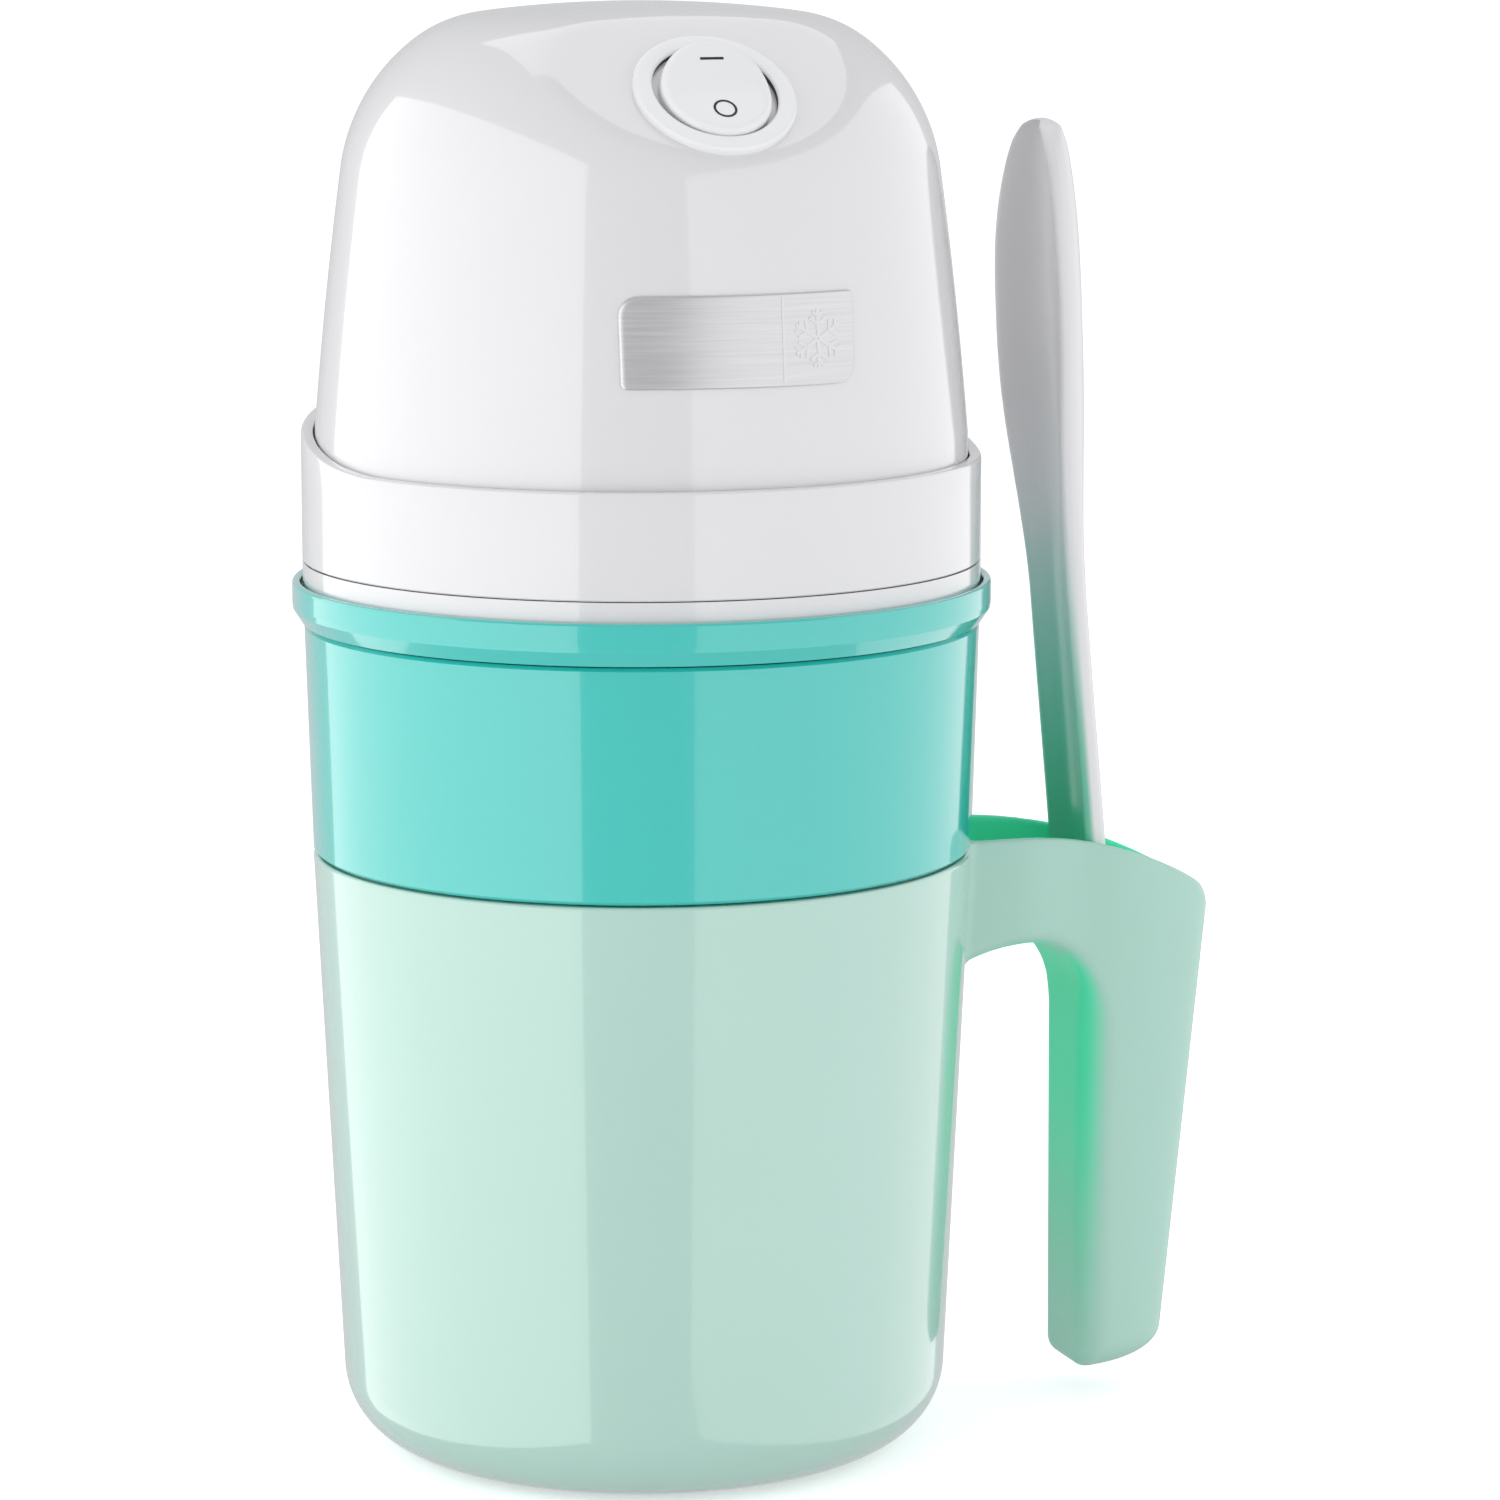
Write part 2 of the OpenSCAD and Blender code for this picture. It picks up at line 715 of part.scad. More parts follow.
module output_gear() {
    color("#e9e2cf") difference() {
        gear(wheel_teeth, module_2, idler_to_output + 180 + tooth_half, 165.1, 173, 0.9);
        translate([0, 0, 164]) cylinder(r = 6 + snug, h = 10, $fn = 6);
        for (a = [0 : 60 : 300]) rotate([0, 0, a + 30]) translate([14.5, 0, 164]) cylinder(r = 3.6, h = 10);
    }
}

// Retaining clip in the groove at the top of the coupling
module output_clip() {
    color(steel) difference() {
        ring(5.6, 3.33, 183.45, 183.95);
        translate([0, -1.5, 180]) cube([8, 3, 8]);
    }
}

module output_bush_lower() {
    color("#b98a4a") ring(9, 7 + running, 160.3, 164.3);
}

module output_bush_upper() {
    color("#b98a4a") ring(6, 4 + running, 175, 183);
}

module output_seal() {
    color(dark) ring(11 - snug, 9.08, base_plate_z, base_top_z - 0.1);
}

module idler_pin() {
    color(steel) translate(idler_at) rod(2, 161, 185.4);
}

module idler_gear() {
    color("#e9e2cf") translate(idler_at) difference() {
        union() {
            rod(3.6, 163.2, 164.9);
            gear(pinion_teeth, module_2, idler_to_output, 164.8, 173.7, 0.9);
            rod(5, 173.6, 174.5);
            gear(wheel_teeth, module_1, motor_to_idler + 180 + tooth_half, 174.4, 180.4, 0.9);
            rod(4, 180.3, 183.2);
        }
        rod(2 + running, 160, 190);
    }
}

// Outline of the gearbox seen from above, with its walls moved out by grow
module box_plan(grow) {
    circle(r = box_out_r + grow);
    translate([idler_x, idler_y]) circle(r = box_idler_r + grow);
}

module box_ears(z0, z1) {
    for (p = ears) translate([p[0], p[1], z0]) cylinder(r = ear_r, h = z1 - z0);
}

module gearbox_lower() {
    color("#d6d8da") difference() {
        union() {
            translate([0, 0, box_floor_z]) linear_extrude(box_split_z - box_floor_z) box_plan(box_wall);
            box_ears(box_floor_z, box_split_z);
        }
        difference() {
            translate([0, 0, box_floor_z + 2.4]) linear_extrude(20) box_plan(0);
            rod(11, box_floor_z, 164.3);
        }
        rod(9 + snug, box_floor_z - 1, 170);
        rod(10, box_floor_z - 1, 160.3);
        translate(idler_at) rod(2 + snug, 161, 170);
        for (p = ears) translate([p[0], p[1], 0]) rod(1.3, 163, 180);
    }
}

module gearbox_upper() {
    color("#d6d8da") difference() {
        union() {
            translate([0, 0, box_split_z + 0.03]) linear_extrude(box_top_z - box_split_z - 0.03) box_plan(box_wall);
            box_ears(box_split_z + 0.03, 178);
        }
        difference() {
            translate([0, 0, box_split_z - 1]) linear_extrude(box_plate_z - box_split_z + 1) box_plan(0);
            rod(7.8, 175, box_plate_z + 1);
        }
        rod(6 + snug, 174, 183.1);
        rod(5.9, 183, 185.2);
        translate(motor_at) rod(7, 180, 190);
        translate(idler_at) rod(2 + snug, 180, 185.4);
        for (p = ears) translate([p[0], p[1], 0]) rod(1.6, 170, 180);
        for (side = [-1, 1]) translate([side * motor_screw_x, motor_y, 0]) rod(1.4, 180, 190);
    }
}

module gearbox_screws() {
    color(steel) for (p = ears) translate([p[0], p[1], 178.05]) rotate([180, 0, 0]) screw(2.8, 1.8, 1.25, 13);
}

// ---------- Motor ----------

module motor_can() {
    color("#c4c8cc") translate(motor_at) difference() {
        union() {
            rod(can_r, can_bottom_z, can_top_z);
            rod(6.8, 184, can_bottom_z + 1);
        }
        rod(can_r - can_wall, can_bottom_z + can_wall, can_top_z + 1);
        rod(4 + snug, 180, 200);
        for (side = [-1, 1]) translate([side * motor_screw_x, 0, 0]) rod(1.28, 180, 200);
    }
}

module motor_magnets() {
    color(dark) translate(motor_at) for (a = [20, 200])
        rotate([0, 0, a]) translate([0, 0, 192]) rotate_extrude(angle = 140)
            translate([14.6, 0]) square([2.1, 26]);
}

module motor_end_cap() {
    color(dark) translate(motor_at) difference() {
        union() {
            rod(can_r, can_top_z + 0.05, 228.5);
            rod(6.5, 228, 231.5);
            for (side = [-1, 1]) translate([side * 10 - 3.5, -3.5, 219.8]) cube([7, 7, 6]);
        }
        for (side = [-1, 1]) translate([side * 10 - 6, -1.8, 220.5]) cube([12, 3.6, 3.6]);
        rod(4 + snug, 215, 230.6);
        rod(5.5, 215, 226);
    }
}

module motor_brushes() {
    color("#4a4a4a") translate(motor_at) for (side = [-1, 1])
        translate([side * 8.65 - 4, -1.75, 220.55]) cube([8, 3.5, 3.5]);
}

module motor_bush_front() {
    color("#b98a4a") translate(motor_at) ring(4, shaft_r + running, 184.1, 188.6);
}

module motor_bush_rear() {
    color("#b98a4a") translate(motor_at) ring(4, shaft_r + running, 226, 230.5);
}

module rotor_shaft() {
    color(steel) translate(motor_at) rod(shaft_r, 173.9, 230);
}

// Laminated core with slots for the windings
module rotor_core() {
    slots = 5;
    color("#8d9298") translate(motor_at) difference() {
        rod(13.8, 194, 216);
        rod(shaft_r + 0.02, 190, 220);
        for (k = [0 : slots - 1]) rotate([0, 0, 360 * k / slots]) {
            translate([9.4, 0, 190]) cylinder(r = 3.1, h = 30);
            translate([9, -0.8, 190]) cube([8, 1.6, 30]);
        }
    }
}

module rotor_windings() {
    color("#b5652b") translate(motor_at) {
        ring(12.4, 5, 190.6, 193.95);
        ring(12.4, 5, 216.05, 219.4);
    }
}

module commutator() {
    color("#c98a4b") translate(motor_at) difference() {
        ring(4.5, shaft_r + 0.02, 219.5, 224.6);
        for (k = [0 : 4]) rotate([0, 0, 72 * k + 36]) translate([3.6, -0.2, 220]) cube([2, 0.4, 6]);
    }
}

module motor_pinion() {
    color("#c9a24a") translate(motor_at) difference() {
        gear(pinion_teeth, module_1, motor_to_idler, 173.9, 181.4, 0.9);
        rod(shaft_r + 0.02, 170, 185);
    }
}

module motor_screws() {
    color(steel) for (side = [-1, 1])
        translate([side * motor_screw_x, motor_y, box_plate_z - 0.05]) screw(2.4, 1.4, 1.25, 3.6);
}

// ---------- Electrics ----------

module power_board() {
    color("#2f7d4f") translate([-34, -20, 165]) cube([1.6, 40, 40]);
}

module board_capacitor() {
    color("#2b3550") {
        translate([-40.6, 8, 0]) rod(5, 172, 190);
        translate([-35.7, 7, 176]) cube([1.65, 2, 10]);
    }
}

module board_diodes() {
    color(dark) for (k = [0 : 3]) translate([-35.45, -14 + 5 * k, 178]) rod(1.4, 0, 6);
}

module board_connectors() {
    color(white) for (y = [-14, 6]) translate([-32.35, y, 194]) cube([6, 8, 8]);
}

// Cuts the supply if the motor overheats; clipped to the can
module thermal_fuse() {
    color("#d9d5c8") translate([-can_r - 1.75, motor_y, 196]) rod(1.7, 0, 12);
}

module switch_housing() {
    color(white) at_switch() difference() {
        union() {
            translate([0, 0, -bezel_proud]) cylinder(r = bezel_r, h = bezel_proud - 0.5);
            translate([0, 0, -0.5]) cylinder(r1 = bezel_r, r2 = bezel_r - 0.5, h = 0.5);
            translate([0, 0, -barrel_depth]) cylinder(r = barrel_r, h = barrel_depth - 0.5);
        }
        translate([0, 0, -12]) cylinder(r = well_r, h = 14);
        for (side = [-1, 1]) translate([side * 11.2, 0, -pivot_depth]) rotate([0, 90, 0])
            cylinder(r = 1.3, h = 1.6, center = true);
        for (x = [-4, 4]) translate([x - 1.6, -0.45, -barrel_depth - 1]) cube([3.2, 0.9, 4]);
    }
}

module switch_terminals() {
    color("#d8b25a") at_switch() for (x = [-4, 4])
        translate([x - 1.5, -0.4, -barrel_depth - 7]) cube([3, 0.8, 9.9]);
}

// Round rocker, lying in its off position: the lower half is pressed flush
module switch_rocker() {
    half = rocker_travel / 2;
    top = pivot_depth + rocker_r * tan(half) + 1;
    color(white) at_switch() translate([0, 0, -pivot_depth]) rotate([half, 0, 0]) union() {
        difference() {
            translate([0, 0, -3]) cylinder(r = rocker_r, h = top + 3);
            for (side = [0, 180]) rotate([0, 0, side])
                translate([-20, 0, pivot_depth - 0.3]) rotate([half, 0, 0]) cube([40, 30, 20]);
        }
        translate([-11.7, 0, 0]) rotate([0, 90, 0]) cylinder(r = 1.22, h = 23.4);
    }
}

// Evenly spaced points on a smooth curve through p1 and p2
function curve(p0, p1, p2, p3, n) =
    [for (i = [0 : n - 1]) let (t = i / n)
        0.5 * (2 * p1 + (p2 - p0) * t + (2 * p0 - 5 * p1 + 4 * p2 - p3) * t * t
            + (3 * p1 - p0 - 3 * p2 + p3) * t * t * t)];

function route(p) =
    let (n = len(p))
    concat(
        [for (k = [0 : n - 2]) each curve(p[max(0, k - 1)], p[k], p[k + 1], p[min(n - 1, k + 2)], 5)],
        [p[n - 1]]
    );

function unit(v) = v / norm(v);

// Tube of radius r along the points of a path
module tube(path, r) {
    n = len(path);
    sides = 8;
    points = [for (k = [0 : n - 1])
        let (
            t = unit(path[min(n - 1, k + 1)] - path[max(0, k - 1)]),
            a = unit(cross(t, [0.3, 1, 0.1])),
            b = cross(t, a)
        )
        for (i = [0 : sides - 1]) path[k] + r * (a * cos(45 * i) + b * sin(45 * i))];
    faces = [for (k = [0 : n - 2]) for (i = [0 : sides - 1])
        let (p = k * sides + i, q = k * sides + (i + 1) % sides) each [[p, p + sides, q], [q, p + sides, q + sides]]];
    start = [[for (i = [0 : sides - 1]) i]];
    end = [[for (i = [sides - 1 : -1 : 0]) (n - 1) * sides + i]];
    polyhedron(points, concat(faces, start, end), convexity = 6);
}

wire_routes = [
    [[-5, -22, 222], [-9, -19, 218], [-20, -16, 213], [-28, -12, 210], [-29.4, -12, 202.2]],
    [[5, -22, 222], [2, -15, 217], [-16, -9, 214], [-27, -8, 210], [-29.4, -8, 202.2]],
    [[-29.4, 8, 202.2], [-29, 9, 212], [-24, 13, 226], [-17, 17, 233], [-13, 18, 229.8]],
    [[-29.4, 12, 202.2], [-28, 14, 214], [-24, 20, 228], [-17, 24, 233], [-12, 24, 229.8]]
];

// Insulated leads from the board to the switch and to the motor
module lead_wires() {
    for (k = [0 : len(wire_routes) - 1])
        color(k % 2 == 0 ? "#b8322a" : "#26282c") tube(route(wire_routes[k]), 0.8);
}

outer_cup();
base_pad();
spoon();
bowl_shell();
inner_vessel();
coolant_gel();
rim_ring();
rim_seal();
lid();
lid_bush();
lid_gasket();
paddle();
motor_base();
skirt_band();
dome_cover();
badge_plate();
cord_gland();
gearbox_lower();
gearbox_upper();
output_bush_lower();
output_bush_upper();
output_seal();
output_coupling();
output_gear();
output_clip();
idler_pin();
idler_gear();
motor_can();
motor_magnets();
motor_end_cap();
motor_brushes();
motor_bush_front();
motor_bush_rear();
rotor_core();
rotor_windings();
commutator();
rotor_shaft();
motor_pinion();
power_board();
board_capacitor();
board_diodes();
board_connectors();
thermal_fuse();
switch_housing();
switch_terminals();
switch_rocker();
lead_wires();
housing_screws();
gearbox_screws();
motor_screws();
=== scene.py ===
import json
import math

import bmesh
import bpy
import numpy as np
from mathutils import Matrix, Vector


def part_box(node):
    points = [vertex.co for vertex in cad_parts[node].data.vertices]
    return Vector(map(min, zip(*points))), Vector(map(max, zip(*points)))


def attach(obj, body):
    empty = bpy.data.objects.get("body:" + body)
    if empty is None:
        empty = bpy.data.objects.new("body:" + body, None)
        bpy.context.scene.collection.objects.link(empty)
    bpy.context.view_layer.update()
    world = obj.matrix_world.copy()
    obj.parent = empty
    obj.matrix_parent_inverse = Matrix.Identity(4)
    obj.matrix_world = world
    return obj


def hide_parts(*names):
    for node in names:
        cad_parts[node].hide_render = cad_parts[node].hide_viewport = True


MM = 0.001

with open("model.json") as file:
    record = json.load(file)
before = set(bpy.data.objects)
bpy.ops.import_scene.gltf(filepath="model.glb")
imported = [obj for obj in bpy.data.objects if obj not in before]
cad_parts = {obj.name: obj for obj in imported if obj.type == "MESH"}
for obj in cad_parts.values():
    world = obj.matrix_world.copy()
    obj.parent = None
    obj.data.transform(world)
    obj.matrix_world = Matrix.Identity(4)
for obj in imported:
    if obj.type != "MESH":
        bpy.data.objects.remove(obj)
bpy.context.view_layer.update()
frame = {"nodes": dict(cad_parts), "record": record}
nodes = frame["nodes"]
scene = bpy.context.scene
scene.view_settings.view_transform = "Standard"


# ---------- Camera ----------

CAMERA_PLACE = (-0.3100, -0.9541, 0.2945)
CAMERA_FORWARD = (0.32275, 0.9319, -0.16546)
CAMERA_TURN = -18  # degrees round from the front
CAMERA_LENS = 135.8  # mm, on a sensor 36 mm wide


def make_camera():
    data = bpy.data.cameras.new("camera")
    data.sensor_width = 36
    data.lens = CAMERA_LENS
    data.clip_start = 0.05
    data.clip_end = 20
    camera = bpy.data.objects.new("camera", data)
    camera.location = CAMERA_PLACE
    camera.rotation_euler = Vector(CAMERA_FORWARD).to_track_quat("-Z", "Y").to_euler()
    scene.collection.objects.link(camera)
    scene.camera = camera


make_camera()


# ---------- Materials ----------

def new_material(name):
    material = bpy.data.materials.new(name)
    material.use_nodes = True
    tree = material.node_tree
    shader = next(n for n in tree.nodes if n.type == "BSDF_PRINCIPLED")
    return material, tree, shader


def add_node(tree, kind, **values):
    node = tree.nodes.new(kind)
    for key, value in values.items():
        if key in node.inputs:
            node.inputs[key].default_value = value
        else:
            setattr(node, key, value)
    return node


def noise(tree, scale, detail=2.0, stretch=(1, 1, 1)):
    """Noise in the object's own coordinates, with features about 1 / scale metres across."""
    coords = add_node(tree, "ShaderNodeTexCoord")
    mapping = add_node(tree, "ShaderNodeMapping", Scale=stretch)
    texture = add_node(tree, "ShaderNodeTexNoise", Scale=scale, Detail=detail)
    tree.links.new(coords.outputs["Object"], mapping.inputs["Vector"])
    tree.links.new(mapping.outputs["Vector"], texture.inputs["Vector"])
    return texture.outputs["Fac"]


def ramp(tree, source, low, high, start=0.3, end=0.7):
    """Colour ramp from low to high over the stretch of source from start to end."""
    node = add_node(tree, "ShaderNodeValToRGB")
    for element, position, colour in zip(node.color_ramp.elements, (start, end), (low, high)):
        element.position = position
        element.color = (*colour, 1)
    tree.links.new(source, node.inputs["Fac"])
    return node.outputs["Color"]


def span(tree, source, low, high):
    """Maps source from 0..1 to low..high."""
    node = add_node(tree, "ShaderNodeMapRange")
    node.inputs["To Min"].default_value = low
    node.inputs["To Max"].default_value = high
    tree.links.new(source, node.inputs["Value"])
    return node.outputs["Result"]


def bump(tree, shader, source, strength, distance):
    node = add_node(tree, "ShaderNodeBump", Strength=strength, Distance=distance)
    tree.links.new(source, node.inputs["Height"])
    tree.links.new(node.outputs["Normal"], shader.inputs["Normal"])


def mottled(colour, amount):
    """A darker and a lighter shade of a colour."""
    darker = tuple(max(0, c * (1 - amount)) for c in colour)
    lighter = tuple(min(1, c * (1 + amount)) for c in colour)
    return darker, lighter


def plastic(name, colour, rough=0.16, specular=0.5, coat=0.0, grain=900, peel=0.00002, amount=0.012):
    """Moulded plastic: faint flow marks in the colour, a fine orange peel and uneven gloss."""
    material, tree, shader = new_material(name)
    low, high = mottled(colour, amount)
    tree.links.new(ramp(tree, noise(tree, 18, 3), low, high), shader.inputs["Base Color"])
    tree.links.new(span(tree, noise(tree, 60, 4), rough * 0.85, rough * 1.2), shader.inputs["Roughness"])
    shader.inputs["Specular IOR Level"].default_value = specular
    shader.inputs["Coat Weight"].default_value = coat
    shader.inputs["Coat Roughness"].default_value = 0.04
    shader.inputs["Coat IOR"].default_value = 1.7
    bump(tree, shader, noise(tree, grain, 2), 0.25, peel)
    return material


def metal(name, colour, rough=0.3, stretch=(1, 1, 1), scale=400, depth=0.00003):
    """Worked metal: grain stretched along the way that it was brushed or turned."""
    material, tree, shader = new_material(name)
    low, high = mottled(colour, 0.06)
    grain = noise(tree, scale, 4, stretch)
    tree.links.new(ramp(tree, grain, low, high), shader.inputs["Base Color"])
    tree.links.new(span(tree, grain, rough * 0.75, rough * 1.3), shader.inputs["Roughness"])
    shader.inputs["Metallic"].default_value = 1
    bump(tree, shader, grain, 0.3, depth)
    return material


def rubber(name, colour, rough=0.6):
    material, tree, shader = new_material(name)
    low, high = mottled(colour, 0.2)
    tree.links.new(ramp(tree, noise(tree, 120, 4), low, high), shader.inputs["Base Color"])
    roughness = span(tree, noise(tree, 300, 3), rough * 0.85, min(1, rough * 1.15))
    tree.links.new(roughness, shader.inputs["Roughness"])
    bump(tree, shader, noise(tree, 2500, 3), 0.4, 0.00004)
    return material


MINT = (0.45, 0.69, 0.60)
# Painted shade: deep green for the handle's trough and the grip's face toward the cup, where shade and
# green bounce light fall
MINT_PAINTED_SHADE = (0.03, 0.78, 0.42)
# Painted shade and reflection: grey-green for the spoon's stem down in the trough, where it reflects the
# green cup
SPOON_SHADE = (0.05, 0.42, 0.26)
TEAL = (0.020, 0.56, 0.50)
WHITE = (0.765, 0.755, 0.765)


def painted_shade_and_glow(material, painted_shade_colour, glow):
    """Mixes a painted shade colour into a plastic, and adds a little painted glow as emission,
    where the piece's depth attribute holds the amount of painted shade."""
    tree = material.node_tree
    shader = next(n for n in tree.nodes if n.type == "BSDF_PRINCIPLED")
    plain = shader.inputs["Base Color"].links[0].from_socket
    depth = add_node(tree, "ShaderNodeAttribute", attribute_name="depth")
    # Painted shade: the depth attribute mixes the shade colour into the base colour
    mix = add_node(tree, "ShaderNodeMix", data_type="RGBA")
    factor, first, second, result = mix.inputs[0], mix.inputs[6], mix.inputs[7], mix.outputs[2]
    second.default_value = (*painted_shade_colour, 1)
    tree.links.new(depth.outputs["Fac"], factor)
    tree.links.new(plain, first)
    tree.links.new(result, shader.inputs["Base Color"])
    # Painted light: emission in the shade colour, a glow that stands in for light through the plastic
    shader.inputs["Emission Color"].default_value = (*painted_shade_colour, 1)
    tree.links.new(span(tree, depth.outputs["Fac"], 0.0, glow), shader.inputs["Emission Strength"])
    return material


SLOTS = {
    "mint_plastic": plastic("mint_plastic", MINT, coat=1.0, specular=0.6),
    "teal_plastic": plastic("teal_plastic", TEAL, coat=1.0, specular=0.6),
    "white_plastic": plastic("white_plastic", WHITE, coat=1.0, rough=0.14),
    "switch_plastic": plastic("switch_plastic", (0.90, 0.90, 0.90), rough=0.32, coat=0.2),
    "paddle_plastic": plastic("paddle_plastic", (0.80, 0.79, 0.76), rough=0.35),
    "brushed_plate": metal("brushed_plate", (0.66, 0.65, 0.66), rough=0.34, stretch=(1, 1, 40), scale=60),
    "aluminium": metal("aluminium", (0.78, 0.79, 0.8), rough=0.28, stretch=(1, 1, 30), scale=80),
    "gel": plastic("gel", (0.6, 0.8, 0.9), rough=0.2),
    "rubber": rubber("rubber", (0.03, 0.03, 0.033)),
    "silicone": rubber("silicone", (0.75, 0.75, 0.72), 0.45),
    "grey_plastic": plastic("grey_plastic", (0.42, 0.43, 0.45), rough=0.45),
    "gear_plastic": plastic("gear_plastic", (0.78, 0.72, 0.56), rough=0.38),
    "black_plastic": plastic("black_plastic", (0.02, 0.02, 0.022), rough=0.42),
    "steel": metal("steel", (0.56, 0.57, 0.6), rough=0.32),
    "bronze": metal("bronze", (0.5, 0.32, 0.14), rough=0.45, scale=900),
    "brass": metal("brass", (0.7, 0.5, 0.2), rough=0.3),
    "copper": metal("copper", (0.6, 0.25, 0.09), rough=0.35, stretch=(1, 1, 12), scale=500),
    "board": plastic("board", (0.03, 0.18, 0.07), rough=0.35),
    "wire": plastic("wire", (0.45, 0.03, 0.025), rough=0.4),
}
MARK = plastic("mark_black", (0.012, 0.012, 0.013), rough=0.5)
# The handle and spoon carry painted shade colour and a painted glow, driven by their depth attribute
HANDLE = painted_shade_and_glow(plastic("mint_handle", MINT, specular=0.2, rough=0.36), MINT_PAINTED_SHADE, 0.14)
SPOON = painted_shade_and_glow(plastic("white_spoon", WHITE, coat=0.15, rough=0.3), SPOON_SHADE, 0.15)


# ---------- Mesh tools ----------

def add_piece(name, verts, faces, body, slot, stands_for=(), material=None, smooth_angle=35):
    """A mesh in millimetres becomes a piece that rides on a body and may stand for CAD nodes."""
    mesh = bpy.data.meshes.new(name)
    points = [tuple(c * MM for c in v) for v in verts]
    mesh.from_pydata(points, [], [tuple(int(i) for i in f) for f in faces])
    mesh.validate()
    piece = bpy.data.objects.new(name, mesh)
    scene.collection.objects.link(piece)
    mesh.materials.append(material or SLOTS[slot])
    mesh.shade_smooth()
    mesh.set_sharp_from_angle(angle=math.radians(smooth_angle))
    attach(piece, body)
    if stands_for:
        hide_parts(*stands_for)
    return piece


def arc(centre, radius, start, end, steps=8):
    """Points on an arc, angles in degrees."""
    angles = np.radians(np.linspace(start, end, steps + 1))
    return [(centre[0] + radius * math.cos(a), centre[1] + radius * math.sin(a)) for a in angles]


def rounded(points, radius, steps=4):
    """A closed outline with each corner cut back by radius and rounded."""
    out = []
    count = len(points)
    for i, corner in enumerate(points):
        corner = Vector(corner)
        before = Vector(points[i - 1]) - corner
        after = Vector(points[(i + 1) % count]) - corner
        reach = min(radius, before.length * 0.45, after.length * 0.45)
        a = corner + before.normalized() * reach
        b = corner + after.normalized() * reach
        for k in range(steps + 1):
            t = k / steps
            out.append(tuple((1 - t) ** 2 * a + 2 * t * (1 - t) * corner + t * t * b))
    return out


def loft(rings):
    """Points and quads over closed rings of points. The first and last ring stay open."""
    verts = [p for ring in rings for p in ring]
    count = len(rings[0])
    faces = []
    for k in range(len(rings) - 1):
        for i in range(count):
            j = (i + 1) % count
            faces.append((k * count + i, k * count + j, (k + 1) * count + j, (k + 1) * count + i))
    return verts, faces


def capped(rings, first, last):
    """A closed skin over rings of points, with a fan to the point first and another to the point last."""
    verts, faces = loft(rings)
    count = len(rings[0])
    top = (len(rings) - 1) * count
    verts = verts + [first, last]
    for i in range(count):
        j = (i + 1) % count
        faces.append((len(verts) - 2, j, i))
        faces.append((len(verts) - 1, top + i, top + j))
    return verts, faces


def smooth_step(t):
    t = np.clip(t, 0, 1)
    return t * t * (3 - 2 * t)


def placed(verts, matrix):
    return [tuple(matrix @ Vector(v)) for v in verts]


def circle(radius, z, segments):
    angles = np.linspace(0, 2 * math.pi, segments, endpoint=False)
    return [(radius * math.cos(a), radius * math.sin(a), z) for a in angles]


def turned(outline, segments=192):
    """An outline in (r, z) from axis to axis, turned round the Z axis."""
    rings = [circle(r, z, segments) for r, z in outline[1:-1]]
    return capped(rings, (0, 0, outline[0][1]), (0, 0, outline[-1][1]))


def set_painted_shade(piece, depth):
    """Stores how much painted shade and painted glow each vertex gets, from 0 to 1."""
    layer = piece.data.attributes.new("depth", "FLOAT", "POINT")
    layer.data.foreach_set("value", np.clip(depth, 0, 1).astype(np.float32))


def fix_normals(piece):
    mesh = bmesh.new()
    mesh.from_mesh(piece.data)
    bmesh.ops.recalc_face_normals(mesh, faces=mesh.faces)
    mesh.to_mesh(piece.data)
    mesh.free()


def weld(piece):
    """Joins points that lie together and drops what that leaves flat."""
    mesh = bmesh.new()
    mesh.from_mesh(piece.data)
    bmesh.ops.remove_doubles(mesh, verts=mesh.verts, dist=0.00001)
    bmesh.ops.dissolve_degenerate(mesh, edges=mesh.edges, dist=0.00001)
    bmesh.ops.recalc_face_normals(mesh, faces=mesh.faces)
    mesh.to_mesh(piece.data)
    mesh.free()


# Solids as signed distances, negative inside, in millimetres

def meet(a, b, r):
    """Intersection of two solids, with its edge rounded by r."""
    u, v = np.maximum(r + a, 0), np.maximum(r + b, 0)
    return np.minimum(-r, np.maximum(a, b)) + np.hypot(u, v)


def join(a, b, r):
    """Union of two solids, with a fillet of r where they meet."""
    return -meet(-a, -b, r)


def outline_distance(x, z, points):
    """Signed distance in a plane to a closed outline."""
    shape = np.broadcast(x, z).shape
    px, pz = np.broadcast_to(x, shape).ravel(), np.broadcast_to(z, shape).ravel()
    best = np.full(px.shape, np.inf)
    inside = np.zeros(px.shape, bool)
    for (ax, az), (bx, bz) in zip(points, points[1:] + points[:1]):
        ex, ez = bx - ax, bz - az
        t = np.clip(((px - ax) * ex + (pz - az) * ez) / (ex * ex + ez * ez), 0, 1)
        best = np.minimum(best, (px - ax - t * ex) ** 2 + (pz - az - t * ez) ** 2)
        crosses = (az > pz) != (bz > pz)
        if ez:
            inside ^= crosses & (px < ax + (pz - az) * ex / ez)
    return (np.sqrt(best) * np.where(inside, -1, 1)).reshape(shape)


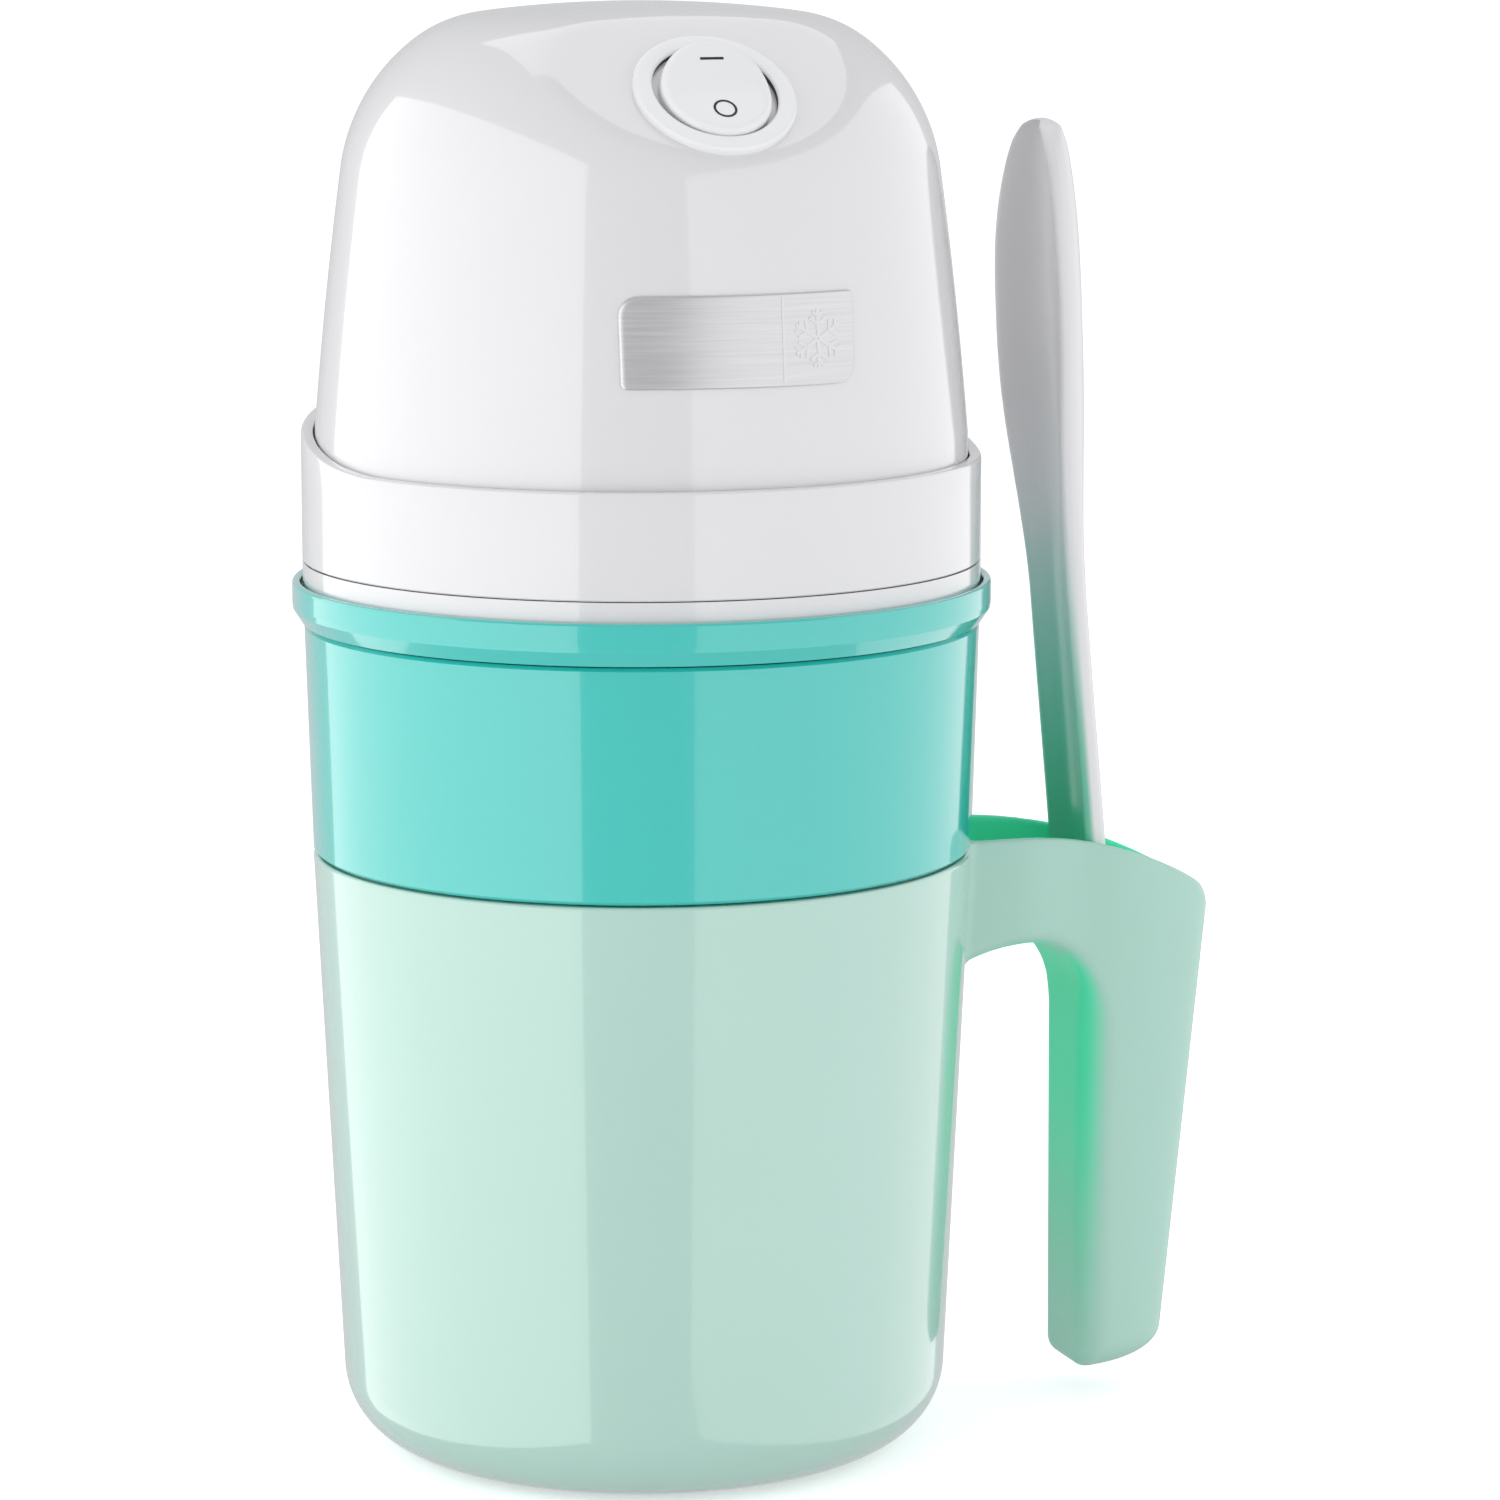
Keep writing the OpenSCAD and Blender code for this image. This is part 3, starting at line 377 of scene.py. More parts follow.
def surface(field, low, high, step, polish=4):
    """Quads on the surface of field inside a box: one point in each cell that it crosses, moved onto it."""
    axes = [np.arange(low[i], high[i] + step, step) for i in range(3)]
    grid = np.meshgrid(*axes, indexing="ij")
    value = field(*grid)
    inside = value < 0
    total = np.zeros([s - 1 for s in value.shape] + [3])
    count = np.zeros([s - 1 for s in value.shape])
    corners = [np.array(c) for c in np.ndindex(2, 2, 2)]

    def cut(corner):
        return tuple(slice(c, s - 1 + c) for c, s in zip(corner, value.shape))

    for a in corners:
        for axis in range(3):
            if a[axis]:
                continue
            b = a.copy()
            b[axis] = 1
            va, vb = value[cut(a)], value[cut(b)]
            crossed = (va < 0) != (vb < 0)
            t = np.where(crossed, va / np.where(va == vb, 1, va - vb), 0)
            for i in range(3):
                place = a[i] + t if i == axis else float(a[i])
                total[..., i] += np.where(crossed, place, 0)
            count += crossed
    used = count > 0
    index = np.full(used.shape, -1)
    index[used] = np.arange(used.sum())
    cells = np.argwhere(used)
    points = np.array(low) + (cells + total[used] / count[used][:, None]) * step
    faces = []
    for axis in range(3):
        u, v = (axis + 1) % 3, (axis + 2) % 3
        first = [slice(1, -1)] * 3
        first[axis] = slice(0, -1)
        second = list(first)
        second[axis] = slice(1, None)
        here, there = inside[tuple(first)], inside[tuple(second)]
        where = np.argwhere(here != there)
        flip = here[tuple(where.T)]
        where = where + [0 if i == axis else 1 for i in range(3)]
        around = []
        for du, dv in ((0, 0), (1, 0), (1, 1), (0, 1)):
            cell = where.copy()
            cell[:, u] -= du
            cell[:, v] -= dv
            around.append(index[tuple(cell.T)])
        quads = np.stack(around, 1)
        quads[~flip] = quads[~flip][:, ::-1]
        faces.append(quads)
    return settle(points, field, polish), np.concatenate(faces)


def slope(points, field):
    """Gradient of field at points, which is close to the surface's outward normal."""
    tiny = 0.01
    x, y, z = points.T
    return np.stack([
        field(x + tiny, y, z) - field(x - tiny, y, z),
        field(x, y + tiny, z) - field(x, y - tiny, z),
        field(x, y, z + tiny) - field(x, y, z - tiny),
    ], 1) / (2 * tiny)


def settle(points, field, rounds):
    """Moves points onto the surface of field along its slope."""
    for _ in range(rounds):
        steep = slope(points, field)
        points = points - steep * (field(*points.T) / np.maximum((steep ** 2).sum(1), 0.05))[:, None]
    return points


def cut_bore(piece, radius, start, length):
    """Cuts a round hole through a piece, from start along Y, in millimetres."""
    verts, faces = turned([(0, 0), (radius, 0), (radius, length), (0, length)], 64)
    along_y = Matrix.Translation(start) @ Matrix.Rotation(math.radians(-90), 4, "X")
    mesh = bpy.data.meshes.new("cutter")
    mesh.from_pydata([tuple(c * MM for c in along_y @ Vector(v)) for v in verts], [], faces)
    cutter = bpy.data.objects.new("cutter", mesh)
    scene.collection.objects.link(cutter)
    fix_normals(cutter)
    cut = piece.modifiers.new("bore", "BOOLEAN")
    cut.object = cutter
    cut.operation = "DIFFERENCE"
    cut.solver = "EXACT"
    shown = piece.evaluated_get(bpy.context.evaluated_depsgraph_get())
    shaped = bpy.data.meshes.new_from_object(shown)
    piece.modifiers.remove(cut)
    piece.data = shaped
    bpy.data.objects.remove(cutter)


# ---------- Cup and handle ----------

def mm_box(node):
    """A CAD node's box in millimetres."""
    low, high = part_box(node)
    return Vector(low) / MM, Vector(high) / MM


cup_low, cup_high = mm_box("outer_cup")
CUP_RIM_Z = cup_high.z
CUP_RIM_R = cup_high.y
CUP_BASE_R = CUP_RIM_R - 5.15
CUP_BOTTOM_Z = cup_low.z
CORNER_R = 14.2
WALL = 2.2
NOSE_X = cup_high.x
GRIP_X = 82.0  # the grip's face towards the cup
GRIP_TOP_Z = 92.0
GRIP_BOTTOM_Z = 5.5
GRIP_HALF_W = 12.0
LEAN = math.radians(6)
WELL_Z = 12.5  # floor of the trough for the spoon
WELL_WALL = 2.3
HANDLE_TOP_X = 66.0  # highest point of the handle's arched top
HANDLE_TOP_Z = 108.2
HANDLE_TOP_R = 76.8
INSIDE_X = 45.0  # a place inside the cup, where the handle's outlines end
BEYOND_X = 130.0  # a place past the handle's nose


def cup_wall(z):
    """The cup's outer radius at a height."""
    return CUP_BASE_R + (CUP_RIM_R - CUP_BASE_R) * z / CUP_RIM_Z


def make_cup():
    lean = math.degrees(math.atan((CUP_RIM_R - CUP_BASE_R) / CUP_RIM_Z))
    corner_x = cup_wall(CORNER_R) - CORNER_R
    inner_r = CORNER_R - WALL
    floor_z = 3.2
    edge = 0.7
    well_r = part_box("base_pad")[1].x / MM + 0.05
    well_z = CUP_BOTTOM_Z + 1.0
    outline = (
        [(0, well_z), (well_r, well_z), (well_r, CUP_BOTTOM_Z + 0.15), (well_r + 0.2, CUP_BOTTOM_Z)]
        + arc((corner_x, CUP_BOTTOM_Z + CORNER_R), CORNER_R, -90, -lean, 20)
        + arc((CUP_RIM_R - edge, CUP_RIM_Z - edge), edge, 0, 90, 5)
        + arc((CUP_RIM_R - WALL + edge, CUP_RIM_Z - edge), edge, 90, 180, 5)
        + arc((corner_x, floor_z + inner_r), inner_r, -lean, -90, 16)
        + [(0, floor_z)]
    )
    verts, faces = turned(outline)
    add_piece("cup_shell", verts, faces, "cup", "mint_plastic", ["outer_cup"])


def handle_side(inset, open_top):
    """Side view of the handle, as an outline in (x, z)."""
    bend = (70.8, 77.1)
    bend_r = GRIP_X - bend[0] + inset
    peak_z = bend[1] + GRIP_X - bend[0]
    root_r = 32.0
    under = arc((bend[0], peak_z - root_r), root_r + inset, 125, 92, 8) + arc(bend, bend_r, 90, 0, 16)
    bottom_z = WELL_Z if open_top else GRIP_BOTTOM_Z
    corner = 2.0 if open_top else 3.0
    grip_foot = arc((GRIP_X + inset + corner, bottom_z + corner), corner, 180, 270, 6)
    grip_foot.append((BEYOND_X, bottom_z))
    if open_top:
        above_z = HANDLE_TOP_Z + 21.8
        top = [(BEYOND_X, above_z), (INSIDE_X, above_z)]
    else:
        top = arc((HANDLE_TOP_X, HANDLE_TOP_Z - HANDLE_TOP_R), HANDLE_TOP_R, 38, 90, 24)
        top.append((INSIDE_X, HANDLE_TOP_Z))
    return under + grip_foot + top


def plan_distance(x, y, z, inset):
    """Distance to the handle's walls as seen from above, which close to a round nose. The nose
    leans in below."""
    drop = np.maximum(GRIP_TOP_Z - z, 0)
    lean = drop * math.tan(LEAN)
    nose = NOSE_X - 0.4 - lean - 1.4 * inset
    start = GRIP_X + 2 - 0.5 * lean
    flare = 2 * smooth_step((GRIP_X + 1 - x) / 16)
    half = GRIP_HALF_W + flare - 1.2 * drop / GRIP_TOP_Z - inset
    along = np.maximum(x - start, 0) / (nose - start)
    return (np.sqrt(along ** 2.2 + (y / half) ** 2) - 1) * half


OUTER_SIDE = handle_side(0, False)
INNER_SIDE = handle_side(WELL_WALL, True)


def side_distances(x, z):
    """Distances to both side outlines. A whole grid is worked out once and spread over Y."""
    if x.ndim < 3:
        return outline_distance(x, z, OUTER_SIDE), outline_distance(x, z, INNER_SIDE)
    across, up = np.unique(x)[:, None], np.unique(z)[None, :]
    return [outline_distance(across, up, outline)[:, None, :] for outline in (OUTER_SIDE, INNER_SIDE)]


def handle_field(x, y, z):
    """Distance to the handle: a solid, less the trough, filleted to the cup and cut at its wall."""
    side, hollow = side_distances(x, z)
    # Edges are crisp round the mouth, rounder where the palm goes and at the foot
    top = smooth_step((z - 90) / 8)
    palm = smooth_step((97 - x) / 9) * smooth_step((x - 74) / 4) * smooth_step((84 - z) / 12)
    foot = smooth_step((26 - z) / 12)
    edge_r = 3.0 - 2.4 * top + 3.0 * np.maximum(palm, foot)
    solid = meet(side, plan_distance(x, y, z, 0), edge_r)
    well = meet(hollow, plan_distance(x, y, z, WELL_WALL), 1.5)
    body = meet(solid, -well, 0.7)
    cup = np.hypot(x, y) - cup_wall(z)
    fillet_r, skin, root_depth = 2.2, 0.06, 1.2
    body = join(body, cup + skin, fillet_r)
    # Next to the cup, only the part round the handle's root is kept
    root = np.maximum(np.maximum(50 - x, np.abs(y) - 24), np.maximum(72 - z, z - HANDLE_TOP_Z - 0.05))
    near = np.where(x > HANDLE_TOP_X, -1.0, root)
    return np.maximum(np.maximum(body, -(cup + root_depth)), near)


def make_handle():
    low, high, step = (49, -20, 3), (NOSE_X + 1.2, 20, 110), 0.6
    points, faces = surface(handle_field, low, high, step)
    piece = add_piece("handle_shell", points, faces, "cup", "mint_plastic", ["outer_cup"], HANDLE, 180)
    fix_normals(piece)
    x, y, z = points.T
    # Painted shade: the trough and the grip's face toward the cup take the deep green and a glow, less
    # towards the foot
    facing = slope(points, handle_field)[:, 0]
    well_shade = smooth_step((1.6 - plan_distance(x, y, z, WELL_WALL)) / 1.2) * smooth_step((z - 84) / 8)
    inner_face_shade = smooth_step((-facing - 0.1) / 0.8) * (x > 78) * smooth_step((92 - z) / 6)
    shade_fade = 0.1 + 0.9 * smooth_step((z - 5) / 60)
    set_painted_shade(piece, np.maximum(0.85 * well_shade, 0.8 * inner_face_shade * shade_fade))


make_cup()
make_handle()


# ---------- Spoon ----------

spoon_low, spoon_high = mm_box("spoon")
SPOON_FOOT = (90.0, spoon_low.z)
SPOON_TIP = (76.4, spoon_high.z)
SPOON_RIM = 4.5  # thickness at the rim, and in the hollow
SPOON_WALL = 2.4
SPOON_SWELL_Z = 150  # where the stem starts to widen to the bowl
SPOON_ROUND_Z = 205  # where the bowl starts to close to its tip


def spoon_axis(z):
    """The spoon's middle in X, which leans to the cup in a slight S."""
    u = (z - SPOON_FOOT[1]) / (SPOON_TIP[1] - SPOON_FOOT[1])
    return SPOON_FOOT[0] + (SPOON_TIP[0] - SPOON_FOOT[0]) * u + 1.2 * math.sin(2 * math.pi * u)


def spoon_half(z):
    """Half the spoon's width."""
    foot = math.sqrt(max(0, 1 - max(0, 1 - (z - SPOON_FOOT[1]) / 4) ** 2))
    stem = 4.6 + 5.0 * max(0, min(1, (z - SPOON_FOOT[1]) / 75))
    swell = 6.6 * smooth_step((z - SPOON_SWELL_Z) / 50)
    t = max(0, (z - SPOON_ROUND_Z) / (SPOON_TIP[1] - SPOON_ROUND_Z))
    return max(0.12, (stem + swell) * foot * math.sqrt(max(0, 1 - t * t)))


def spoon_dish(z):
    """How far the spoon's middle bows out from its edges."""
    flat_z = 212
    t = max(0, (z - flat_z) / (SPOON_TIP[1] - flat_z))
    bow = 2.4 + 3.2 * smooth_step((z - SPOON_SWELL_Z) / 40)
    return bow * min(1, spoon_half(z) / 8) * (1 - 0.6 * t * t)


def make_spoon():
    sides, rings = 28, 150
    end_gap = 0.02
    length = SPOON_TIP[1] - SPOON_FOOT[1] - 2 * end_gap
    outline = []
    for k in range(rings + 1):
        z = SPOON_FOOT[1] + end_gap + length * (1 - math.cos(math.pi * k / rings)) / 2
        half, dish, centre = spoon_half(z), spoon_dish(z), spoon_axis(z)
        thick = min(SPOON_RIM, half)
        hollow = thick - min(SPOON_WALL, half)
        ring = []
        for side in (-1, 1):
            for i in range(sides + 1):
                u = -math.cos(math.pi * i / sides) * -side
                edge = math.sqrt(max(0.0, 1 - 0.96 * abs(u) ** 12))
                scoop = hollow * smooth_step((0.93 - abs(u)) / 0.4) if side < 0 else 0
                ring.append((centre + dish * (0.5 - u * u) + side * thick / 2 * edge + scoop, half * u, z))
        outline.append(ring)
    verts, faces = capped(outline, tuple(np.mean(outline[0], 0)), tuple(np.mean(outline[-1], 0)))
    piece = add_piece("spoon_moulding", verts, faces, "spoon", "white_plastic", ["spoon"], SPOON, 60)
    fix_normals(piece)
    x, y, z = np.array(verts).T
    # Painted shade and reflection: the stem's face toward the cup takes the grey-green and a glow, fading
    # out upwards
    front = np.tile([1.0] * (sides + 1) + [0.0] * (sides + 1), rings + 1)
    front = np.append(front, [0.0, 0.0])
    shade_top_z, shade_length = 172, 62
    set_painted_shade(piece, 0.85 * front * smooth_step((shade_top_z - z) / shade_length))


make_spoon()


# ---------- Dome, with a flat seat blended into its shoulder ----------

DOME_FOOT_Z = 161.8
DOME_FOOT_R = 58.1
GLAND_Z = 172.0  # the cord grommet's bore
GLAND_R = 7.05
# The dome's outline in (r, z) is four arcs: side, shoulder, blend and crown. Elevations in degrees
SIDE_START = (58.0, 185.0)
SIDE_R = 840.0
SIDE_ELEV = (4.7, 7.83)
SHOULDER_C = (19.01, 226.06)
SHOULDER_R = 34.3
BLEND_ELEV = 52.0
BLEND_R = 23.7
CROWN_R = 222.0
DOME_TOP_Z = mm_box("dome_cover")[1].z
SIDE_C = (
    SIDE_START[0] - SIDE_R * math.cos(math.radians(SIDE_ELEV[0])),
    SIDE_START[1] - SIDE_R * math.sin(math.radians(SIDE_ELEV[0])),
)
SWITCH_R = 41.3
SWITCH_Z = 246.06
SWITCH_ELEV = 50.1
BEZEL_PROUD = 1.4
SWITCH_TILT = Matrix.Rotation(math.radians(90 - SWITCH_ELEV), 4, "X")
AT_SWITCH = Matrix.Translation((0, -SWITCH_R, SWITCH_Z)) @ SWITCH_TILT


def dome_outline(inset):
    """From the foot up to the axis, in (r, z)."""
    blend_c = (
        SHOULDER_C[0] + (SHOULDER_R - BLEND_R) * math.cos(math.radians(BLEND_ELEV)),
        SHOULDER_C[1] + (SHOULDER_R - BLEND_R) * math.sin(math.radians(BLEND_ELEV)),
    )
    crown_c = (0, DOME_TOP_Z - CROWN_R)
    crown_elev = math.degrees(math.atan2(blend_c[1] - crown_c[1], blend_c[0]))
    foot = [(DOME_FOOT_R - inset, z) for z in np.linspace(DOME_FOOT_Z, SIDE_START[1] - 1, 6)]
    return (
        foot
        + arc(SIDE_C, SIDE_R - inset, *SIDE_ELEV, 24)
        + arc(SHOULDER_C, SHOULDER_R - inset, SIDE_ELEV[1] + 1.5, BLEND_ELEV, 28)
        + arc(blend_c, BLEND_R - inset, BLEND_ELEV + 1.5, crown_elev, 14)
        + arc(crown_c, CROWN_R - inset, crown_elev + 0.4, 90, 16)
    )


def seat_height(points):
    """Height of points over the switch's flat seat, along its normal."""
    normal = np.array(AT_SWITCH.to_3x3() @ Vector((0, 0, 1)))
    origin = np.array(AT_SWITCH @ Vector((0, 0, -BEZEL_PROUD)))
    return (points - origin) @ normal


def sink_to_seat(points, depth):
    """Moves what stands over the seat down to it, with a soft edge."""
    soft = 0.9
    normal = np.array(AT_SWITCH.to_3x3() @ Vector((0, 0, 1)))
    height = seat_height(points) + depth
    lift = 0.5 * (height + np.sqrt(height * height + soft * soft))
    fade = smooth_step((height + 5 * soft) / (5 * soft))
    return points - normal * (lift * fade)[:, None]


def make_dome():
    segments = 256
    outer = dome_outline(0)
    inner = dome_outline(WALL)
    loop = [(0, inner[-1][1])] + inner[:-1][::-1] + outer[:-1] + [(0, outer[-1][1])]
    verts, faces = turned(loop, segments)
    points = np.array(verts)
    split = (len(inner) - 1) * segments
    is_outer = np.arange(len(points)) >= split
    is_outer[-2] = False
    points[is_outer] = sink_to_seat(points[is_outer], 0)
    points[~is_outer] = sink_to_seat(points[~is_outer], WALL)
    body, slot = "motor_unit", "white_plastic"
    piece = add_piece("dome_shell", points, faces, body, slot, ["dome_cover"], smooth_angle=50)
    fix_normals(piece)
    cut_bore(piece, GLAND_R, (0, 50, GLAND_Z), 20)


make_dome()


# ---------- Band ----------

def make_band():
    """The white band round the dome's foot. Its top edge is level in front and rises to the back."""
    low, high = mm_box("skirt_band")
    outer_r, inner_r = high.y, DOME_FOOT_R + 0.2
    bottom = low.z
    front = 180.0
    rise_y = (-70, -20, -10, 0, 15, 35, 66)
    rise_z = (0, 0, 0.8, 2.2, 4.5, 7.3, high.z - front + 0.55)
    segments = 256
    rings = []
    for k in range(segments):
        a = 2 * math.pi * k / segments
        y = outer_r * math.sin(a)
        top = front + float(np.interp(y, rise_y, rise_z))
        section = (
            [(outer_r - 0.25, bottom), (outer_r, bottom + 0.25)]
            + [(outer_r, bottom + (top - bottom) * t) for t in (0.25, 0.5, 0.75)]
            + arc((outer_r - 0.55, top - 0.55), 0.55, 0, 90, 4)
            + arc((inner_r + 0.45, top - 0.45), 0.45, 90, 180, 3)
            + [(inner_r, bottom)]
        )
        rings.append([(r * math.cos(a), r * math.sin(a), z) for r, z in section])
    smooth_rounds = 5
    heights = np.array([[p[2] for p in ring] for ring in rings])
    for _ in range(smooth_rounds):
        heights = (np.roll(heights, 1, 0) + 2 * heights + np.roll(heights, -1, 0)) / 4
    rings = [[(x, y, z) for (x, y, _), z in zip(ring, level)] for ring, level in zip(rings, heights)]
    verts, faces = loft(rings + rings[:1])
    count = len(rings[0]) * segments
    faces = [tuple(v % count for v in face) for face in faces]
    piece = add_piece("band_ring", verts[:count], faces, "motor_unit", "white_plastic", ["skirt_band"])
    fix_normals(piece)
    cut_bore(piece, GLAND_R, (0, 50, GLAND_Z), 20)


make_band()


# ---------- Rocker switch ----------

BEZEL_R = 14.25
WELL_R = 10.95
ROCKER_R = 10.25
ROCKER_NARROW = 0.95  # the rocker's width over its length
PIVOT_DEPTH = 4.0
HALF_TRAVEL = math.radians(8)
AT_PIVOT = AT_SWITCH @ Matrix.Translation((0, 0, -PIVOT_DEPTH))
AT_ROCKER = AT_PIVOT @ Matrix.Rotation(HALF_TRAVEL, 4, "X")


def make_housing():
    """Bezel and barrel of the switch, with a well that is black inside."""
    barrel_r, lip, edge = 12.0, 0.7, 0.5
    outline = (
        [(0, -20), (barrel_r, -20), (barrel_r, -2.6), (BEZEL_R - 0.3, -2.6), (BEZEL_R, -2.2)]
        + arc((BEZEL_R - lip, -lip), lip, 0, 90, 8)
        + arc((WELL_R + edge, -edge), edge, 90, 180, 6)
        + [(WELL_R, -11.5), (WELL_R - 0.5, -12), (0, -12)]
    )
    verts, faces = turned(outline, 128)
    verts = placed(verts, AT_SWITCH)
    piece = add_piece("switch_bezel", verts, faces, "motor_unit", "switch_plastic", ["switch_housing"])
    fix_normals(piece)
    piece.data.materials.append(SLOTS["black_plastic"])
    back = AT_SWITCH.inverted()
    for face in piece.data.polygons:
        spot = back @ (face.center / MM)
        if math.hypot(spot.x, spot.y) < WELL_R + 0.05 and -12.5 < spot.z < -edge:
            face.material_index = 1


def rocker_top(x, y):
    """Height of the rocker's face over its pivot: two slopes that meet in a soft valley, crowned
    across."""
    valley, slope_up, proud = 3.0, math.radians(8), 1.5
    return PIVOT_DEPTH + proud + (math.hypot(y, valley) - valley) * math.tan(slope_up) - 0.004 * x * x


def make_rocker():
    edge, segments = 1.5, 96
    rings = [circle(ROCKER_R, -3, segments)]
    profile = [(ROCKER_R - edge + edge * math.cos(a), edge * math.sin(a) - edge)
               for a in np.radians(np.linspace(0, 90, 9))]
    profile += [(r, 0) for r in np.linspace(ROCKER_R - edge - 0.6, 0.6, 14)]
    for r, drop in profile:
        rings.append([(x, y, rocker_top(x, y) + drop) for x, y, _ in circle(r, 0, segments)])
    verts, faces = capped(rings, (0, 0, -3), (0, 0, rocker_top(0, 0)))
    verts = placed([(x * ROCKER_NARROW, y, z) for x, y, z in verts], AT_ROCKER)
    piece = add_piece("rocker_button", verts, faces, "rocker", "switch_plastic", ["switch_rocker"])
    fix_normals(piece)
    pin_r, pin_x = 1.22, 11.7
    ends = [[(x, y, z) for y, z, _ in circle(pin_r, 0, 32)] for x in (-pin_x, pin_x)]
    verts, faces = capped(ends, (-pin_x, 0, 0), (pin_x, 0, 0))
    add_piece("rocker_pin", placed(verts, AT_ROCKER), faces, "rocker", "switch_plastic")


def printed(name, outer, inner, height, place, body, slot, material):
    """A thin inlay between two outlines in a plane, laid at height(x, y) and then placed."""
    thick = 0.05
    rings = []
    for outline, raised in ((inner, -thick), (inner, thick), (outer, thick), (outer, -thick)):
        rings.append([(x, y, height(x, y) + raised) for x, y in outline])
    verts, faces = loft(rings + rings[:1])
    count = len(inner)
    faces = [tuple(v % (4 * count) for v in face) for face in faces]
    piece = add_piece(name, placed(verts[: 4 * count], place), faces, body, slot, (), material)
    fix_normals(piece)


def make_marks():
    ring_y, bar_y, ring_r, line = -4.9, 5.9, 1.85, 0.42
    steps = 48
    outer = [(x, ring_y + y) for x, y, _ in circle(ring_r + line / 2, 0, steps)]
    inner = [(x, ring_y + y) for x, y, _ in circle(ring_r - line / 2, 0, steps)]
    printed("mark_off", outer, inner, rocker_top, AT_ROCKER, "rocker", "black_plastic", MARK)
    half, thin = 2.1, 0.24
    bar = rounded([(-half, -thin), (half, -thin), (half, thin), (-half, thin)], 0.06, 2)
    outer = [(x, bar_y + y) for x, y in bar]
    inner = [(0.9 * x, bar_y) for x, _ in bar]
    printed("mark_on", outer, inner, rocker_top, AT_ROCKER, "rocker", "black_plastic", MARK)


make_housing()
make_rocker()
make_marks()


# ---------- Plaque ----------

badge_low, badge_high = mm_box("badge_plate")
PLAQUE_HALF_W = badge_high.x
PLAQUE_HALF_H = (badge_high.z - badge_low.z) / 2
PLAQUE_Z = (badge_high.z + badge_low.z) / 2


def on_dome(x, z, proud):
    """The point over (x, z) on the front of the dome, standing proud of it."""
    radius = SIDE_C[0] + math.sqrt((SIDE_R + proud) ** 2 - (PLAQUE_Z + z - SIDE_C[1]) ** 2)
    return (x, -math.sqrt(radius * radius - x * x), PLAQUE_Z + z)


def plaque_outline(inset, steps=8):
    """A panel with two large round corners, top left and bottom right, and two small ones."""
    w, h = PLAQUE_HALF_W - inset, PLAQUE_HALF_H - inset
    outline = []
    corners = ((1, 1, 1.0, 0, 24), (-1, 1, 3.5, 90, 8), (-1, -1, 1.0, 180, 24), (1, -1, 3.5, 270, 8))
    for sx, sz, radius, start, _ in corners:
        r = max(0.05, radius - inset)
        outline.append(arc((sx * (w - r), sz * (h - r)), r, start, start + 90, steps))
    points = []
    for k, bend in enumerate(outline):
        (ax, az), (bx, bz) = bend[-1], outline[(k + 1) % 4][0]
        between = np.linspace(0, 1, corners[k][4] + 1)[1:-1]
        points += bend + [(ax + (bx - ax) * t, az + (bz - az) * t) for t in between]
    return points


def make_plaque():
    layers = [(0.0, 0.02), (0.0, 0.3), (0.12, 0.43), (0.3, 0.5)]
    layers += [(inset, 0.5) for inset in np.linspace(0.9, PLAQUE_HALF_H - 0.2, 10)]
    rings = [[on_dome(x, z, proud) for x, z in plaque_outline(inset)] for inset, proud in layers]
    # Front and back close on a line along the plaque's middle
    spine = PLAQUE_HALF_W - PLAQUE_HALF_H
    front = plaque_outline(PLAQUE_HALF_H - 0.2)
    rings.append([on_dome(max(-spine, min(spine, x)), 0, 0.5) for x, _ in front])
    back = [[on_dome(max(-spine, min(spine, x)), 0, 0.02) for x, _ in plaque_outline(0)]]
    verts, faces = loft(back + rings)
    piece = add_piece("plaque", verts, faces, "motor_unit", "brushed_plate", ["badge_plate"])
    weld(piece)


def bar_on_plaque(start, end, width):
    """A raised rib with a round top between two points of the plaque."""
    (ax, az), (bx, bz) = start, end
    length = math.hypot(bx - ax, bz - az)
    nx, nz = (az - bz) / length, (bx - ax) / length
    section = [(-0.5, 0.45), (-0.5, 0.56), (-0.3, 0.62), (0.3, 0.62), (0.5, 0.56), (0.5, 0.45)]
    steps = max(2, int(length))
    rings = []
    for k in range(steps + 1):
        x = ax + (bx - ax) * k / steps
        z = az + (bz - az) * k / steps
        rings.append([on_dome(x + nx * width * u, z + nz * width * u, proud) for u, proud in section])
    return capped(rings, tuple(np.mean(rings[0], 0)), tuple(np.mean(rings[-1], 0)))


def make_snowflake():
    """Generic snowflake in ribs at the right of the plaque, with a rule beside it."""
    centre_x, reach, width = 13.6, 4.9, 0.62
    rule_x, rule_end = 7.0, PLAQUE_HALF_H - 0.6
    bars = [((rule_x, -rule_end), (rule_x, rule_end), 0.45)]
    for k in range(6):
        a = math.radians(60 * k + 30)
        tip = (centre_x + reach * math.cos(a), reach * math.sin(a))
        bars.append(((centre_x + 0.1 * math.cos(a), 0.1 * math.sin(a)), tip, width))
        for along, twig in ((0.5, 1.9), (0.78, 1.2)):
            foot = (centre_x + along * reach * math.cos(a), along * reach * math.sin(a))
            for side in (-1, 1):
                b = a + side * math.radians(55)
                twig_tip = (foot[0] + twig * math.cos(b), foot[1] + twig * math.sin(b))
                bars.append((foot, twig_tip, width * 0.8))
    verts, faces = [], []
    for start, end, wide in bars:
        v, f = bar_on_plaque(start, end, wide)
        faces += [tuple(i + len(verts) for i in face) for face in f]
        verts += v
    piece = add_piece("plaque_snowflake", verts, faces, "motor_unit", "white_plastic")
    fix_normals(piece)


make_plaque()
make_snowflake()


# ---------- CAD nodes that show as they are ----------

